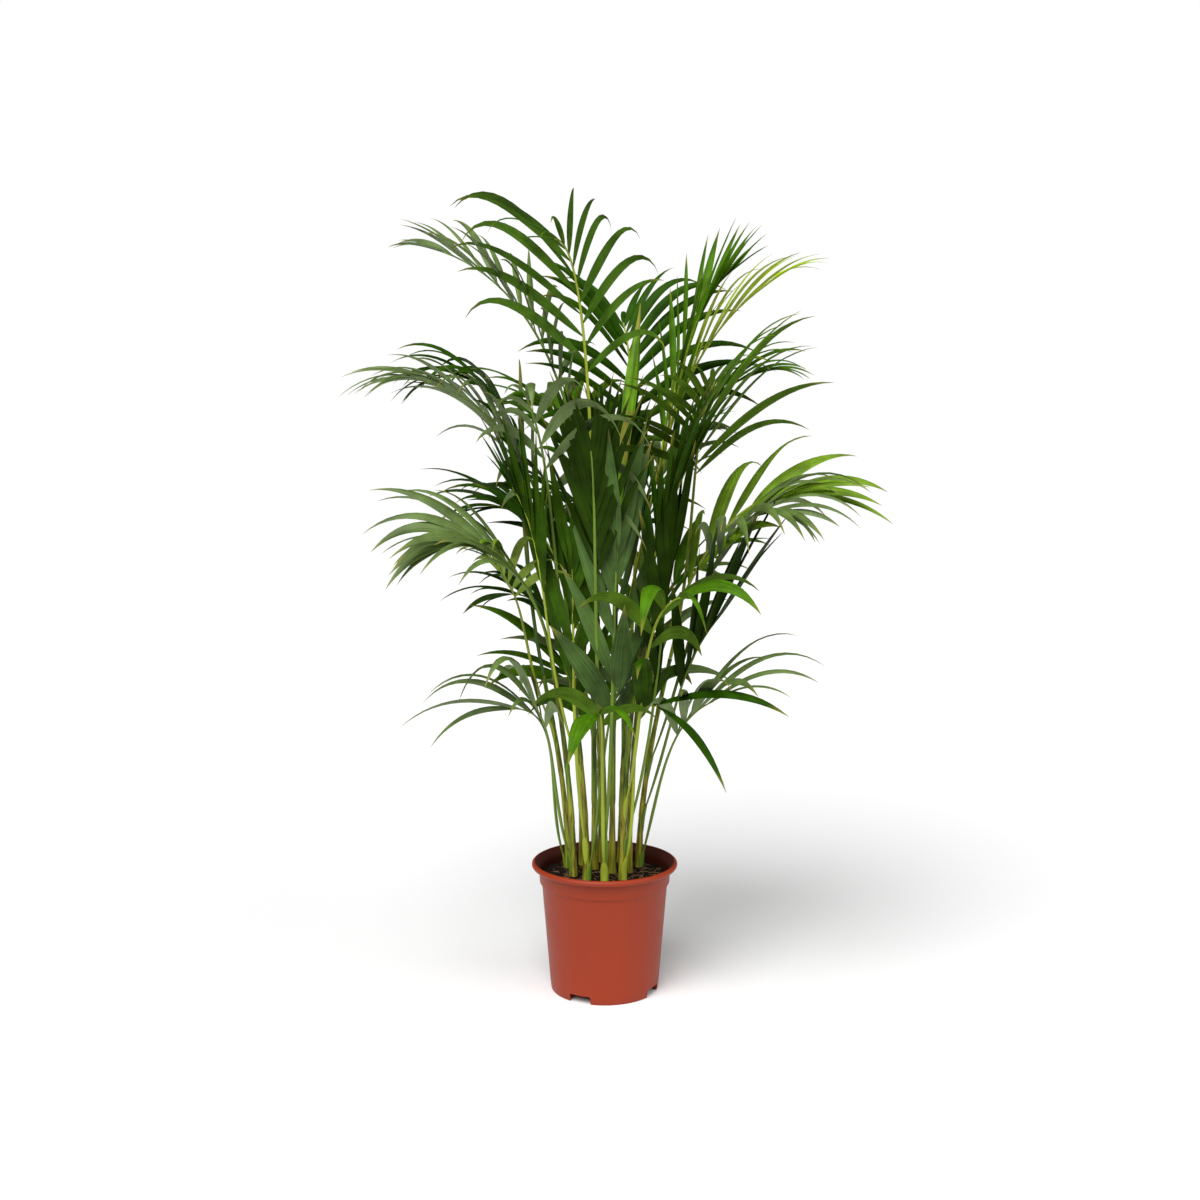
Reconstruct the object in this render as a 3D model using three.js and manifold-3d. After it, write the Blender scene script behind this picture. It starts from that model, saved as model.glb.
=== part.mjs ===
// A potted areca palm: a clump of slender canes that carries arching feathered fronds, in a
// stepped nursery pot. Millimetres, +Z up. The origin is the centre of the pot's underside and
// -Y is the side that faces the viewer.
import * as THREE from "three";
import { mergeVertices } from "three/addons/utils/BufferGeometryUtils.js";
import Module from "manifold-3d";

const wasm = await Module();
wasm.setup();

// Pot
const POT_HEIGHT = 154;
const RIM_RADIUS = 87; // over the rolled rim
const RIM_HEIGHT = 7;
const COLLAR_RADIUS = 77.5;
const COLLAR_HEIGHT = 20;
const STEP = 2.6; // how far the wall steps in below the collar
const BASE_RADIUS = 65.3;
const WALL = 2;
const FOOT_HEIGHT = 10; // of the foot ring, and of the drainage channel inside it
const FOOT_INSET = 1.2;
const PAD_RADIUS = 46; // the flat middle of the underside, which the pot also stands on
const PAD_SLOPE = 2; // how far the side of that middle leans in over its height
const LIP_OUTER = 1.5; // how far the rim's underside and top step in from its widest line
const LIP_INNER = 2.5;
const SOFTEN = 1; // small slopes at the rim, the collar and the step
const POT_SIDES = 32;
const NOTCH_COUNT = 4;
const NOTCH_WIDTH = 27;
const NOTCH_FIRST = -117; // azimuth of the notch at the front left, in degrees

// Soil and clearances
const SOIL_DROP = 17; // from the top of the rim to the soil
const SOIL_CROWN = 18; // width of the sloping edge of its surface
const SOIL_SLOPE = 3; // how far that edge falls
const CLEAR = 0.3; // between neighbouring solids
const SOIL_GAP = 0.9; // between the soil's side and the pot's wall

// Canes
const CANE_FOOT_RADIUS = 4.4;
const CANE_TOP_RADIUS = 2.9;
const CANE_FLARE = 1.3; // at the soil, as a share of the foot's radius
const CANE_LEAN = 0.55; // share of its lean that a cane has in its upper third
const CANE_SIDES = 8;
const CANE_STEPS = 4;

// Fronds
const PETIOLE_RADIUS = 2.4;
const RACHIS_TIP_RADIUS = 0.9;
const FOOT_TAPER = 0.55; // radius of a side petiole's foot, as a share of its full radius
const RIB_SIDES = 4;
const RIB_STEPS = 6;
const RIB_RISE = 0.42; // share of its length over which a rib follows its cane's direction
const RIB_END = 0.33; // the most of its length over which it settles to its tip's pitch
const RIB_TAPER = 1.4; // above 1 the rib stays stout for longer
const FOOT_SPLAY = 14; // degrees that a side petiole leans away from its cane
const BLADE_STEPS = 3;
const PATH_STEPS = 12;
const STAGGER = 0.45; // how far a pair's right leaflet sits above its left, in pairs
const BARE = 0.4; // share of a frond's rib that is petiole, with no leaflets
const LAST_LEAFLETS = 0.98; // share of the rib where its last pair sits
const BASE_ANGLE = 58; // between the rachis and its lowest leaflets
const TIP_ANGLE = 20; // between the rachis and its last pair
const LIFT = 24; // how far the leaflets rise out of the frond's plane, in degrees
const TWIST = 25; // the most that a blade is turned about its own midrib, in degrees
const ROOT_SIZE = 0.8; // length of the lowest leaflets, as a share of the frond's leaf length
const MIDDLE_SIZE = 1.1; // how much the middle ones gain on that
const BLADE_ROOT = 0.01; // where a blade starts on its width curve
const BLADE_PEAK = 0.75; // below 1 the widest place is before the middle
const BLADE_KEEL = 0.0105; // thickness under the midrib, as a share of its length
const KEEL_TAPER = 0.5; // share of that thickness lost by the tip
const DROOP_POWER = 1.5; // above 1 a leaflet bends mostly towards its tip
const ANGLE_SPREAD = 4; // how much leaflets differ: in angle and lift, in degrees,
const LIFT_SPREAD = 8;
const LENGTH_SPREAD = 0.07; // and in length and droop, as a share
const DROOP_SPREAD = 0.3;
const SWINGS = [0, 8, -8, 16, -16, 26, -26, 38]; // tried in turn, in degrees, to clear a neighbour

// Spear leaves
const SPEAR_PITCH = 80;
const SPEAR_STEPS = 8;
const SPEAR_FOOT = 0.9; // half width at its foot and at its tip, as shares of a petiole's radius
const SPEAR_TIP = 0.2;
const SPEAR_FLAT = 0.5; // how thick it is for its width

const MERGE = 0.02; // corners of a frond closer than this are joined
const SOIL_TOP = POT_HEIGHT - SOIL_DROP;
const STEP_TOP = POT_HEIGHT - RIM_HEIGHT - COLLAR_HEIGHT;
const UP = new THREE.Vector3(0, 0, 1);

// Each cane: where it leaves the soil and where its top is.
const CANES = {
  left_front: { foot: [-37, -8], top: [-62, -18, 400] },
  left_back: { foot: [-44, 26], top: [-74, 44, 370] },
  left_inner: { foot: [-27, 38], top: [-44, 66, 430] },
  front_left: { foot: [-21, -22], top: [-46, -40, 430] },
  centre_back: { foot: [-12, 20], top: [-16, 34, 480] },
  front_centre: { foot: [0, -30], top: [-8, -50, 450] },
  centre: { foot: [9, 4], top: [14, 2, 500] },
  front_right: { foot: [21, -22], top: [38, -46, 410] },
  right_inner: { foot: [29, 6], top: [50, 10, 440] },
  right_back: { foot: [42, 30], top: [80, 52, 390] },
  back_left: { foot: [-4, 52], top: [-10, 88, 410] },
  back_right: { foot: [20, 50], top: [34, 90, 420] },
};

// What a frond's leaflets are like unless its row says otherwise. spread opens their angles,
// droop bends them down, lift raises them out of the frond's plane, bias lengthens one side and
// shortens the other, end is the length of the last pair, bare is the share of the rib without
// leaflets, bend shortens the stretch that settles to the tip's pitch, and roll turns the outer
// part of the frond about its rib, in degrees.
const USUAL = { spread: 1, droop: 1, lift: LIFT, bias: 0, end: 0.3, bare: BARE, bend: 1, roll: 0 };
const NARROW = { spread: 0.5, lift: 10 };
const FLAT = { spread: 0.4, lift: 0 };
const TUFT = { spread: 0.8, end: 1, droop: 2 };
const HANGING = { spread: 0.6, end: 1, droop: 2.6 };
const UPRIGHT = { spread: 0.35, lift: 12, droop: 0.35 };
const INNER = { spread: 0.4, end: 0.9, droop: 0.3, bare: 0.42 };
const OPEN_BACK = { bare: 0.5 };
const TOP_LEAFLETS = { spread: 0.9, droop: 0.65, bend: 0.8, bias: -0.2, lift: 0, end: 0.2, bare: 0.5 };

// Each frond: its cane, the height of its foot (0 for the one that carries on from the cane's
// top), the azimuth and reach of the rachis tip from the pot's axis, the tip's height and
// pitch, its pairs of leaflets, the longest leaflet's length and width, and what else differs.
const FRONDS = [
  ["top_centre", "front_centre", 0, -118, 115, 866, -5, 8, 206, 13, TOP_LEAFLETS],
  ["top_left", "centre_back", 0, 165, 214, 880, 15, 8, 185, 13, { droop: 0.7, roll: -15 }],
  ["top_right", "right_inner", 0, 15, 155, 852, 38, 8, 180, 12, { ...UPRIGHT, spread: 0.5 }],
  ["young_right", "centre", 420, -8, 186, 828, 34, 7, 165, 7, { spread: 0.32, end: 0.5, droop: 0.8 }],
  ["mid_right", "right_back", 0, -40, 155, 715, 35, 7, 190, 13,
    { droop: 0.85, bias: 0.15, bare: 0.6, roll: 15 }],
  ["mid_right_back", "back_right", 340, 20, 212, 738, 10, 7, 190, 15, NARROW],
  ["mid_left", "left_inner", 0, 186, 232, 722, -2, 9, 200, 13, { ...NARROW, spread: 0.6, droop: 1 }],
  ["mid_left_front", "front_left", 0, -122, 165, 705, 40, 5, 150, 15, { droop: 1.9, bias: 0.25 }],
  ["mid_left_back", "left_inner", 360, 160, 222, 728, -15, 7, 180, 12, { ...FLAT, droop: 1.3 }],
  ["low_mid_left", "left_front", 0, 200, 188, 538, -15, 7, 185, 17,
    { spread: 0.5, lift: 5, droop: 1.2, roll: -35 }],
  ["low_mid_left_back", "left_back", 320, 180, 135, 515, 40, 4, 150, 11, { bare: 0.7, droop: 1.2 }],
  ["upper_left", "centre_back", 380, 150, 158, 572, -5, 6, 185, 15, NARROW],
  ["low_left", "left_front", 168, 190, 88, 350, 50, 2, 140, 18, { ...TUFT, bare: 0.75 }],
  ["low_left_back", "left_back", 155, 165, 112, 332, 0, 2, 155, 14,
    { ...NARROW, end: 0.9, droop: 1.6, bare: 0.65 }],
  ["low_right", "right_back", 158, -15, 130, 352, 25, 4, 155, 14,
    { spread: 0.8, end: 0.9, bare: 0.62, roll: 15 }],
  ["low_right_front", "front_right", 165, -45, 88, 350, -15, 2, 150, 23,
    { ...HANGING, droop: 1.4, bare: 0.7 }],
  ["right_upright", "right_back", 215, -5, 128, 440, 52, 4, 180, 17,
    { spread: 0.5, end: 0.9, droop: 0.3, bare: 0.55 }],
  ["right_arch", "right_back", 275, -22, 222, 572, -10, 7, 200, 14,
    { ...NARROW, spread: 0.7, droop: 1.15, roll: 25, bare: 0.54 }],
  ["right_bright", "right_inner", 340, 0, 228, 594, 2, 5, 165, 20, { ...NARROW, end: 0.7, roll: 45 }],
  ["front_bright", "front_right", 240, -55, 148, 482, 10, 3, 115, 18,
    { spread: 0.9, end: 1, droop: 1.9, bare: 0.59 }],
  ["front_low", "front_centre", 162, -95, 80, 345, 0, 2, 100, 20, { ...TUFT, bare: 0.75 }],
  ["front_left_low", "front_left", 158, -75, 62, 370, 60, 2, 125, 24, { ...TUFT, droop: 0.3, bare: 0.75 }],
  ["front_mid", "front_centre", 285, -98, 110, 640, 60, 6, 180, 12, { ...UPRIGHT, bare: 0.52 }],
  ["front_left_mid", "front_left", 285, -150, 120, 600, 55, 6, 180, 15, { ...UPRIGHT, bare: 0.54 }],
  ["centre_dark", "centre", 350, 80, 60, 650, 70, 7, 180, 15, UPRIGHT],
  ["centre_right", "front_right", 0, -20, 110, 640, 60, 7, 180, 14, { spread: 0.6, droop: 0.6 }],
  ["inner_left", "front_left", 190, -120, 75, 510, 75, 4, 150, 19, INNER],
  ["inner_front", "front_centre", 190, -80, 80, 530, 75, 4, 160, 19, INNER],
  ["inner_right", "front_right", 195, -30, 90, 520, 75, 4, 160, 18, INNER],
  ["back_top", "back_right", 0, 80, 130, 800, 25, 7, 200, 14, OPEN_BACK],
  ["back_left", "back_left", 0, 118, 190, 700, 0, 7, 190, 14, OPEN_BACK],
  ["back_right", "back_right", 370, 66, 205, 630, -10, 6, 180, 14, { ...OPEN_BACK, spread: 0.7 }],
  ["back_mid", "back_left", 350, 98, 220, 570, -15, 6, 190, 14, OPEN_BACK],
  ["back_right_low", "back_right", 300, 48, 190, 490, -15, 4, 170, 16, { spread: 0.7 }],
  ["back_left_low", "back_left", 300, 135, 180, 460, -15, 4, 170, 16, { spread: 0.7 }],
  ["back_foot_right", "back_right", 260, 82, 130, 380, 10, 3, 160, 16, { end: 0.9 }],
  ["back_foot_left", "back_left", 250, 112, 120, 360, 0, 3, 150, 18, { end: 0.9 }],
];

// Each folded spear leaf: its cane, the azimuth and reach of its tip, the tip's height, and how
// far it swells above its foot.
const SPEARS = [
  ["spear_centre", "centre", 50, 66, 815, 4.6],
  ["spear_left", "left_back", 150, 118, 750, 1.2],
];

const rad = THREE.MathUtils.degToRad;
const lerp = THREE.MathUtils.lerp;

// A direction in the ground plane.
const heading = (degrees) => new THREE.Vector3(Math.cos(rad(degrees)), Math.sin(rad(degrees)), 0);

// A repeatable number from -1 to 1 for each frond, leaflet and purpose.
function chance(frond, leaf, purpose) {
  let h = Math.imul(frond + 1, 73856093) ^ Math.imul(leaf + 1, 19349663) ^ Math.imul(purpose + 1, 83492791);
  h = Math.imul(h ^ (h >>> 15), 2246822519);
  h = Math.imul(h ^ (h >>> 13), 3266489917);
  return ((h ^ (h >>> 16)) >>> 0) / 2147483648 - 1;
}

// A closed mesh as a solid, its normals and texture places dropped so that corners merge.
function solidOf(geometry) {
  geometry.deleteAttribute("normal");
  geometry.deleteAttribute("uv");
  const merged = mergeVertices(geometry, 1e-3);
  return new wasm.Manifold(
    new wasm.Mesh({
      numProp: 3,
      vertProperties: merged.attributes.position.array,
      triVerts: new Uint32Array(merged.index.array),
    }),
  );
}

// A solid back as a three.js geometry, shaded flat.
function geometryOf(solid) {
  const mesh = solid.getMesh();
  const geometry = new THREE.BufferGeometry();
  const place = new Float32Array(mesh.numVert * 3);
  for (let i = 0; i < mesh.numVert; i++)
    place.set(mesh.vertProperties.subarray(i * mesh.numProp, i * mesh.numProp + 3), i * 3);
  geometry.setAttribute("position", new THREE.BufferAttribute(place, 3));
  geometry.setIndex(new THREE.BufferAttribute(mesh.triVerts, 1));
  return geometry;
}

// Moves each corner of a unit cylinder or cone to where place(share along, x, z) says.
function reshape(geometry, place) {
  const corners = geometry.attributes.position;
  for (let i = 0; i < corners.count; i++) {
    const p = place(corners.getY(i) + 0.5, corners.getX(i), corners.getZ(i));
    corners.setXYZ(i, p.x, p.y, p.z);
  }
  return geometry;
}

// The point of a curve at t with its direction, a vector to its side, which stays as near as it
// can to the sideways one given, and the vector out of its upper face.
function frameAt(curve, t, sideways) {
  const along = curve.getTangent(t);
  const side = sideways.clone().addScaledVector(along, -sideways.dot(along)).normalize();
  return { at: curve.getPoint(t), along, side, upper: along.clone().cross(side) };
}

// A tapering limb along a curve, round or flattened.
function limb(curve, sideways, radiusAt, sides, steps, flat = 1) {
  const shape = new THREE.CylinderGeometry(1, 1, 1, sides, steps, false, Math.PI / sides);
  return reshape(shape, (t, x, z) => {
    const f = frameAt(curve, t, sideways);
    const r = radiusAt(t);
    return f.at.addScaledVector(f.side, x * r).addScaledVector(f.upper, -z * r * flat);
  });
}

// The pot: a shell turned from its profile, standing on a ring and on a flat middle, with
// drainage notches through the ring into the channel between the two.
function pot() {
  const wallTop = COLLAR_RADIUS - STEP;
  const collarInside = COLLAR_RADIUS - WALL;
  const ringInside = BASE_RADIUS - WALL - FOOT_INSET;
  const profile = [
    [0, 0],
    [PAD_RADIUS, 0],
    [PAD_RADIUS + PAD_SLOPE, FOOT_HEIGHT],
    [ringInside, FOOT_HEIGHT],
    [ringInside, 0],
    [BASE_RADIUS - FOOT_INSET, 0],
    [BASE_RADIUS, FOOT_HEIGHT],
    [wallTop, STEP_TOP],
    [COLLAR_RADIUS, STEP_TOP + STEP],
    [COLLAR_RADIUS + SOFTEN, POT_HEIGHT - RIM_HEIGHT],
    [RIM_RADIUS - LIP_OUTER, POT_HEIGHT - RIM_HEIGHT],
    [RIM_RADIUS, POT_HEIGHT - RIM_HEIGHT / 2],
    [RIM_RADIUS - LIP_INNER, POT_HEIGHT],
    [COLLAR_RADIUS + SOFTEN, POT_HEIGHT - SOFTEN],
    [collarInside, POT_HEIGHT - RIM_HEIGHT],
    [collarInside, STEP_TOP + STEP],
    [wallTop - WALL, STEP_TOP - SOFTEN],
    [BASE_RADIUS - WALL, FOOT_HEIGHT + WALL],
    [PAD_RADIUS, FOOT_HEIGHT + WALL],
    [PAD_RADIUS - PAD_SLOPE, WALL],
    [0, WALL],
  ].map(([r, z]) => new THREE.Vector2(r, z));
  let solid = solidOf(new THREE.LatheGeometry(profile, POT_SIDES).rotateX(Math.PI / 2));
  for (let i = 0; i < NOTCH_COUNT; i++) {
    const turn = rad(NOTCH_FIRST + (i * 360) / NOTCH_COUNT);
    const notch = new THREE.BoxGeometry(BASE_RADIUS, NOTCH_WIDTH, 2 * (FOOT_HEIGHT - SOFTEN));
    notch.translate(BASE_RADIUS, 0, 0).rotateZ(turn);
    solid = solid.subtract(solidOf(notch));
  }
  return solid;
}

// The soil fills the pot to a little above its step and falls away a little at its edge.
function soil() {
  const inset = WALL + SOIL_GAP;
  const floor = FOOT_HEIGHT + WALL + CLEAR;
  const below = STEP_TOP - 2 * SOFTEN;
  const wallAt = (z) =>
    lerp(BASE_RADIUS, COLLAR_RADIUS - STEP, (z - FOOT_HEIGHT) / (STEP_TOP - FOOT_HEIGHT));
  const edge = COLLAR_RADIUS - inset - CLEAR;
  const profile = [
    [0, WALL + CLEAR],
    [PAD_RADIUS - PAD_SLOPE - inset, WALL + CLEAR],
    [PAD_RADIUS - inset, floor],
    [wallAt(floor) - inset, floor],
    [wallAt(below) - inset, below],
    [edge, STEP_TOP + STEP + SOFTEN],
    [edge, SOIL_TOP - SOIL_SLOPE],
    [COLLAR_RADIUS - SOIL_CROWN, SOIL_TOP],
    [0, SOIL_TOP],
  ].map(([r, z]) => new THREE.Vector2(r, z));
  return solidOf(new THREE.LatheGeometry(profile, POT_SIDES).rotateX(Math.PI / 2));
}

// A cane's axis, upright at the soil and leaning out towards its top.
function caneCurve({ foot, top }) {
  const start = new THREE.Vector3(foot[0], foot[1], SOIL_TOP + CLEAR);
  const end = new THREE.Vector3(...top);
  const rise = end.z - start.z;
  const upright = start.clone().addScaledVector(UP, rise / 3);
  const lean = end.clone().sub(start).setZ(0).multiplyScalar(CANE_LEAN);
  const below = end.clone().sub(lean).addScaledVector(UP, -rise / 3);
  return new THREE.CubicBezierCurve3(start, upright, below, end);
}

function caneRadius(t) {
  const flare = 1 + (CANE_FLARE - 1) * Math.max(0, 1 - t * CANE_STEPS);
  return lerp(CANE_FOOT_RADIUS, CANE_TOP_RADIUS, t) * flare;
}

// The rib of a frond, from its cane to the tip of its rachis.
function ribCurve(cane, foot, azimuth, reach, tipHeight, pitch, { bend, roll }) {
  const tip = heading(azimuth).multiplyScalar(reach).setZ(tipHeight);
  const curve = caneCurve(cane);
  const atTop = foot === 0;
  const t = atTop ? 1 : (foot - SOIL_TOP) / (cane.top[2] - SOIL_TOP);
  const caneAt = curve.getPoint(t);
  const caneAlong = curve.getTangent(t);
  const run = tip.clone().sub(caneAt).setZ(0).length();
  const outward = tip.clone().sub(caneAt).setZ(0).normalize();
  const start = caneAt.clone();
  const rise = caneAlong.clone();
  if (atTop) start.addScaledVector(caneAlong, CLEAR);
  else {
    start.addScaledVector(outward, caneRadius(t) + PETIOLE_RADIUS * FOOT_TAPER + CLEAR);
    rise.applyAxisAngle(outward.clone().cross(UP), -rad(FOOT_SPLAY));
  }
  const reachLength = tip.distanceTo(start);
  const tipAlong = outward.clone().multiplyScalar(Math.cos(rad(pitch))).setZ(Math.sin(rad(pitch)));
  const settle = Math.min(reachLength * RIB_END, bend * run);
  return {
    curve: new THREE.CubicBezierCurve3(
      start,
      start.clone().addScaledVector(rise, reachLength * RIB_RISE),
      tip.clone().addScaledVector(tipAlong, -settle),
      tip,
    ),
    sideways: new THREE.Vector3(-outward.y, outward.x, 0).applyAxisAngle(outward, rad(roll)),
    atTop,
  };
}

// A side petiole is thinner at its foot; one that carries on from its cane isn't.
function ribRadius(atTop) {
  return (t) => {
    const foot = atTop ? 1 : lerp(FOOT_TAPER, 1, Math.min(1, t * RIB_STEPS));
    return lerp(PETIOLE_RADIUS, RACHIS_TIP_RADIUS, Math.pow(t, RIB_TAPER)) * foot;
  };
}

// A leaflet's width along its length: narrow at its root, widest before its middle, drawn out
// to a fine point.
const bladeShare = (s) => Math.sin(Math.PI * Math.pow(lerp(BLADE_ROOT, 1, s), BLADE_PEAK));

// The path of one leaflet, with its direction and the vector across its blade at each point. u
// is its place among the leaflets of its side, and swing raises it further to pass a neighbour.
function leafletPath(frond, frondIndex, leafIndex, u, side, swing) {
  const wander = (purpose) => chance(frondIndex, leafIndex, purpose);
  const t = lerp(frond.bare, LAST_LEAFLETS, u);
  const f = frameAt(frond.rib.curve, t, frond.rib.sideways);
  const opened = lerp(BASE_ANGLE, TIP_ANGLE, u) + ANGLE_SPREAD * wander(0);
  const angle = rad(opened * frond.spread);
  const lift = rad(frond.lift + LIFT_SPREAD * wander(1) + swing);
  const along = f.along.clone().multiplyScalar(Math.cos(angle));
  along.addScaledVector(f.side, side * Math.sin(angle) * Math.cos(lift));
  along.addScaledVector(f.upper, Math.sin(angle) * Math.sin(lift));
  const across = f.along.clone().addScaledVector(along, -f.along.dot(along)).normalize();
  across.applyAxisAngle(along, rad(TWIST * wander(4)));
  const size = lerp(ROOT_SIZE, frond.end, u) + MIDDLE_SIZE * u * (1 - u);
  const sided = frond.leaf * size * (1 + frond.bias * side);
  const length = sided * (1 + LENGTH_SPREAD * wander(2));
  const droop = frond.droop * (1 + DROOP_SPREAD * wander(3));
  const points = [f.at.clone().addScaledVector(along, 0.5 * ribRadius(true)(t))];
  const ways = [along.clone()];
  const turn = across.clone().cross(along).dot(f.upper) > 0 ? -1 : 1;
  const spans = [across.multiplyScalar(turn)];
  for (let i = 0; i < PATH_STEPS; i++) {
    const s = (i + 1) / PATH_STEPS;
    const way = along.clone().addScaledVector(UP, -droop * Math.pow(s, DROOP_POWER)).normalize();
    const middle = way.clone().add(ways[i]).normalize();
    points.push(points[i].clone().addScaledVector(middle, length / PATH_STEPS));
    ways.push(way);
    spans.push(spans[i].clone().addScaledVector(way, -spans[i].dot(way)).normalize());
  }
  return { points, ways, spans, length };
}

// One leaflet as a three-sided blade with a keel under its midrib. A unit cone's three corners
// are the blade's two edges, at z -0.5, and its keel, at z 1.
function leaflet(path, width) {
  const shape = new THREE.ConeGeometry(1, 1, 3, BLADE_STEPS);
  const edgeX = Math.sqrt(0.75);
  return solidOf(
    reshape(shape, (s, x, z) => {
      const step = Math.round(s * PATH_STEPS);
      const across = path.spans[step];
      const under = across.clone().cross(path.ways[step]);
      const share = s < 1 ? 1 / (1 - s) : 0;
      const half = 0.5 * width * bladeShare(s);
      const keel = BLADE_KEEL * path.length * (1 - KEEL_TAPER * s);
      return path.points[step]
        .clone()
        .addScaledVector(across, (x * share * half) / edgeX)
        .addScaledVector(under, ((z * share + 0.5) / 1.5) * keel);
    }),
  );
}

// Whether two solids keep their clearance.
function clearOf(solid, box, other) {
  const reach = 2 * CLEAR;
  for (let k = 0; k < 3; k++)
    if (other.box.min[k] - reach > box.max[k] || other.box.max[k] + reach < box.min[k]) return true;
  return solid.minGap(other.solid, reach) > CLEAR;
}

const material = (colour, roughness) =>
  new THREE.MeshStandardMaterial({ color: colour, roughness, metalness: 0, flatShading: true });
const MATERIALS = {
  pot: material("#a64d31", 0.5),
  soil: material("#2a1b12", 1),
  cane: material("#8e8f33", 0.6),
  leaf: material("#2f5a1c", 0.45),
  youngLeaf: material("#8caa3c", 0.45),
};
const YOUNG = ["young_right"];

const plant = new THREE.Group();
const placed = [];

function show(name, solid, finish) {
  const mesh = new THREE.Mesh(geometryOf(solid), finish);
  mesh.name = name;
  plant.add(mesh);
}

// Remembers a solid that later leaflets keep clear of.
function claim(solid) {
  placed.push({ solid, box: solid.boundingBox() });
}

show("pot", pot(), MATERIALS.pot);
const ground = soil();
show("soil", ground, MATERIALS.soil);
claim(ground);

const EAST = new THREE.Vector3(1, 0, 0);
for (const [name, cane] of Object.entries(CANES)) {
  const solid = solidOf(limb(caneCurve(cane), EAST, caneRadius, CANE_SIDES, CANE_STEPS));
  show("cane_" + name, solid, MATERIALS.cane);
  claim(solid);
}

// A spear leaf swells above its foot and closes to a fine tip.
function spearRadius(swell) {
  return (t) => {
    if (t === 1) return PETIOLE_RADIUS * SPEAR_TIP;
    return PETIOLE_RADIUS * (SPEAR_FOOT + swell * t * Math.pow(Math.sin(Math.PI * t), 2));
  };
}

for (const [name, cane, azimuth, reach, top, swell] of SPEARS) {
  const rib = ribCurve(CANES[cane], 0, azimuth, reach, top, SPEAR_PITCH, USUAL);
  const solid = solidOf(limb(rib.curve, EAST, spearRadius(swell), RIB_SIDES, SPEAR_STEPS, SPEAR_FLAT));
  show(name, solid, MATERIALS.youngLeaf);
  claim(solid);
}

const fronds = FRONDS.map((row) => {
  const [name, cane, foot, azimuth, reach, top, pitch, pairs, leaf, width, differs] = row;
  const habit = { ...USUAL, ...differs };
  const rib = ribCurve(CANES[cane], foot, azimuth, reach, top, pitch, habit);
  const solid = solidOf(limb(rib.curve, rib.sideways, ribRadius(rib.atTop), RIB_SIDES, RIB_STEPS));
  claim(solid);
  return { name, rib, solid, pairs, leaf, width, ...habit };
});

// The leaflet at one place, swung past its neighbours, or nothing where none of the swings
// clears them.
function fittedLeaflet(frond, frondIndex, leafIndex, u, side) {
  for (const swing of SWINGS) {
    const path = leafletPath(frond, frondIndex, leafIndex, u, side, swing);
    const blade = leaflet(path, frond.width * Math.sqrt(path.length / frond.leaf));
    const box = blade.boundingBox();
    if (placed.every((other) => other.solid === frond.solid || clearOf(blade, box, other)))
      return blade;
  }
  return null;
}

fronds.forEach((frond, frondIndex) => {
  const parts = [frond.solid];
  for (let i = 0; i < frond.pairs; i++)
    for (const side of [1, -1]) {
      const u = (i + (side > 0 ? 0 : STAGGER)) / (frond.pairs - 1 + STAGGER);
      const leafIndex = 2 * i + (side > 0 ? 0 : 1);
      const blade = fittedLeaflet(frond, frondIndex, leafIndex, u, side);
      if (!blade) continue;
      parts.push(blade);
      claim(blade);
    }
  const pieces = wasm.Manifold.union(parts).simplify(MERGE).decompose();
  const whole = pieces.sort((a, b) => b.volume() - a.volume())[0];
  const finish = YOUNG.includes(frond.name) ? MATERIALS.youngLeaf : MATERIALS.leaf;
  show("frond_" + frond.name, whole, finish);
});

export default plant;
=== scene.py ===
# A potted areca palm: a clump of slender canes with arching feathered fronds, in a stepped
# nursery pot. Metres, +Z up, -Y towards the viewer. Shapes are worked out in millimetres from
# the same named values as the solids, and carried to finer leaflets.
import math

import bpy
import numpy as np
from bpy.props import FloatProperty, FloatVectorProperty, IntProperty, PointerProperty
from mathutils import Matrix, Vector


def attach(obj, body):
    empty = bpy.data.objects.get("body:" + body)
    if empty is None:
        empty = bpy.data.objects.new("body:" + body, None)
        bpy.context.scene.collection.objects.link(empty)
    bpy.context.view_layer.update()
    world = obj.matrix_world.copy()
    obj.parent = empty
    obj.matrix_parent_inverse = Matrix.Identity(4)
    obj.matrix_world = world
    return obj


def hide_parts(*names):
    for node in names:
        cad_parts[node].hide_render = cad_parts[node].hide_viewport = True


bl_info = {
    "name": "Potted areca palm",
    "version": (1, 0, 0),
    "blender": (4, 5, 0),
    "location": "3D View > Sidebar > Palm",
    "description": "Builds a potted areca palm piece by piece around its packed solids",
    "category": "Add Mesh",
}

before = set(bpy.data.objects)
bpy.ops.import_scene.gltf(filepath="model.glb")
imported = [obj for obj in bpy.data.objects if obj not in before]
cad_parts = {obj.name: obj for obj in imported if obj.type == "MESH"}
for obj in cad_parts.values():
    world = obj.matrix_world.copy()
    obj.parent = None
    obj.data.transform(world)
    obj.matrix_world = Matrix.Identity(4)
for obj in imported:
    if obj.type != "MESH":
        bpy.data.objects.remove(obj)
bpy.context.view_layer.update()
MM = 0.001

# Pot, in millimetres
POT_HEIGHT = 154.0
RIM_RADIUS = 87.0
RIM_HEIGHT = 7.0
COLLAR_RADIUS = 77.5
COLLAR_HEIGHT = 20.0
STEP = 2.6
BASE_RADIUS = 65.3
WALL = 2.0
FOOT_HEIGHT = 10.0
FOOT_INSET = 1.2
PAD_RADIUS = 46.0
PAD_SLOPE = 2.0
STEP_TOP = POT_HEIGHT - RIM_HEIGHT - COLLAR_HEIGHT
NOTCH_COUNT = 4
NOTCH_WIDTH = 27.0
NOTCH_FIRST = -117.0
NOTCH_ROUNDING = 2.0
NOTCH_STEPS = 4
SOFTEN = 1.0  # how far softened edges stand back
EDGE_RADIUS = 0.6
EDGE_STEPS = 2
EDGE_ANGLE = 28.0  # two faces that meet at more than this form an edge
LIP_STEPS = 8
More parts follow.
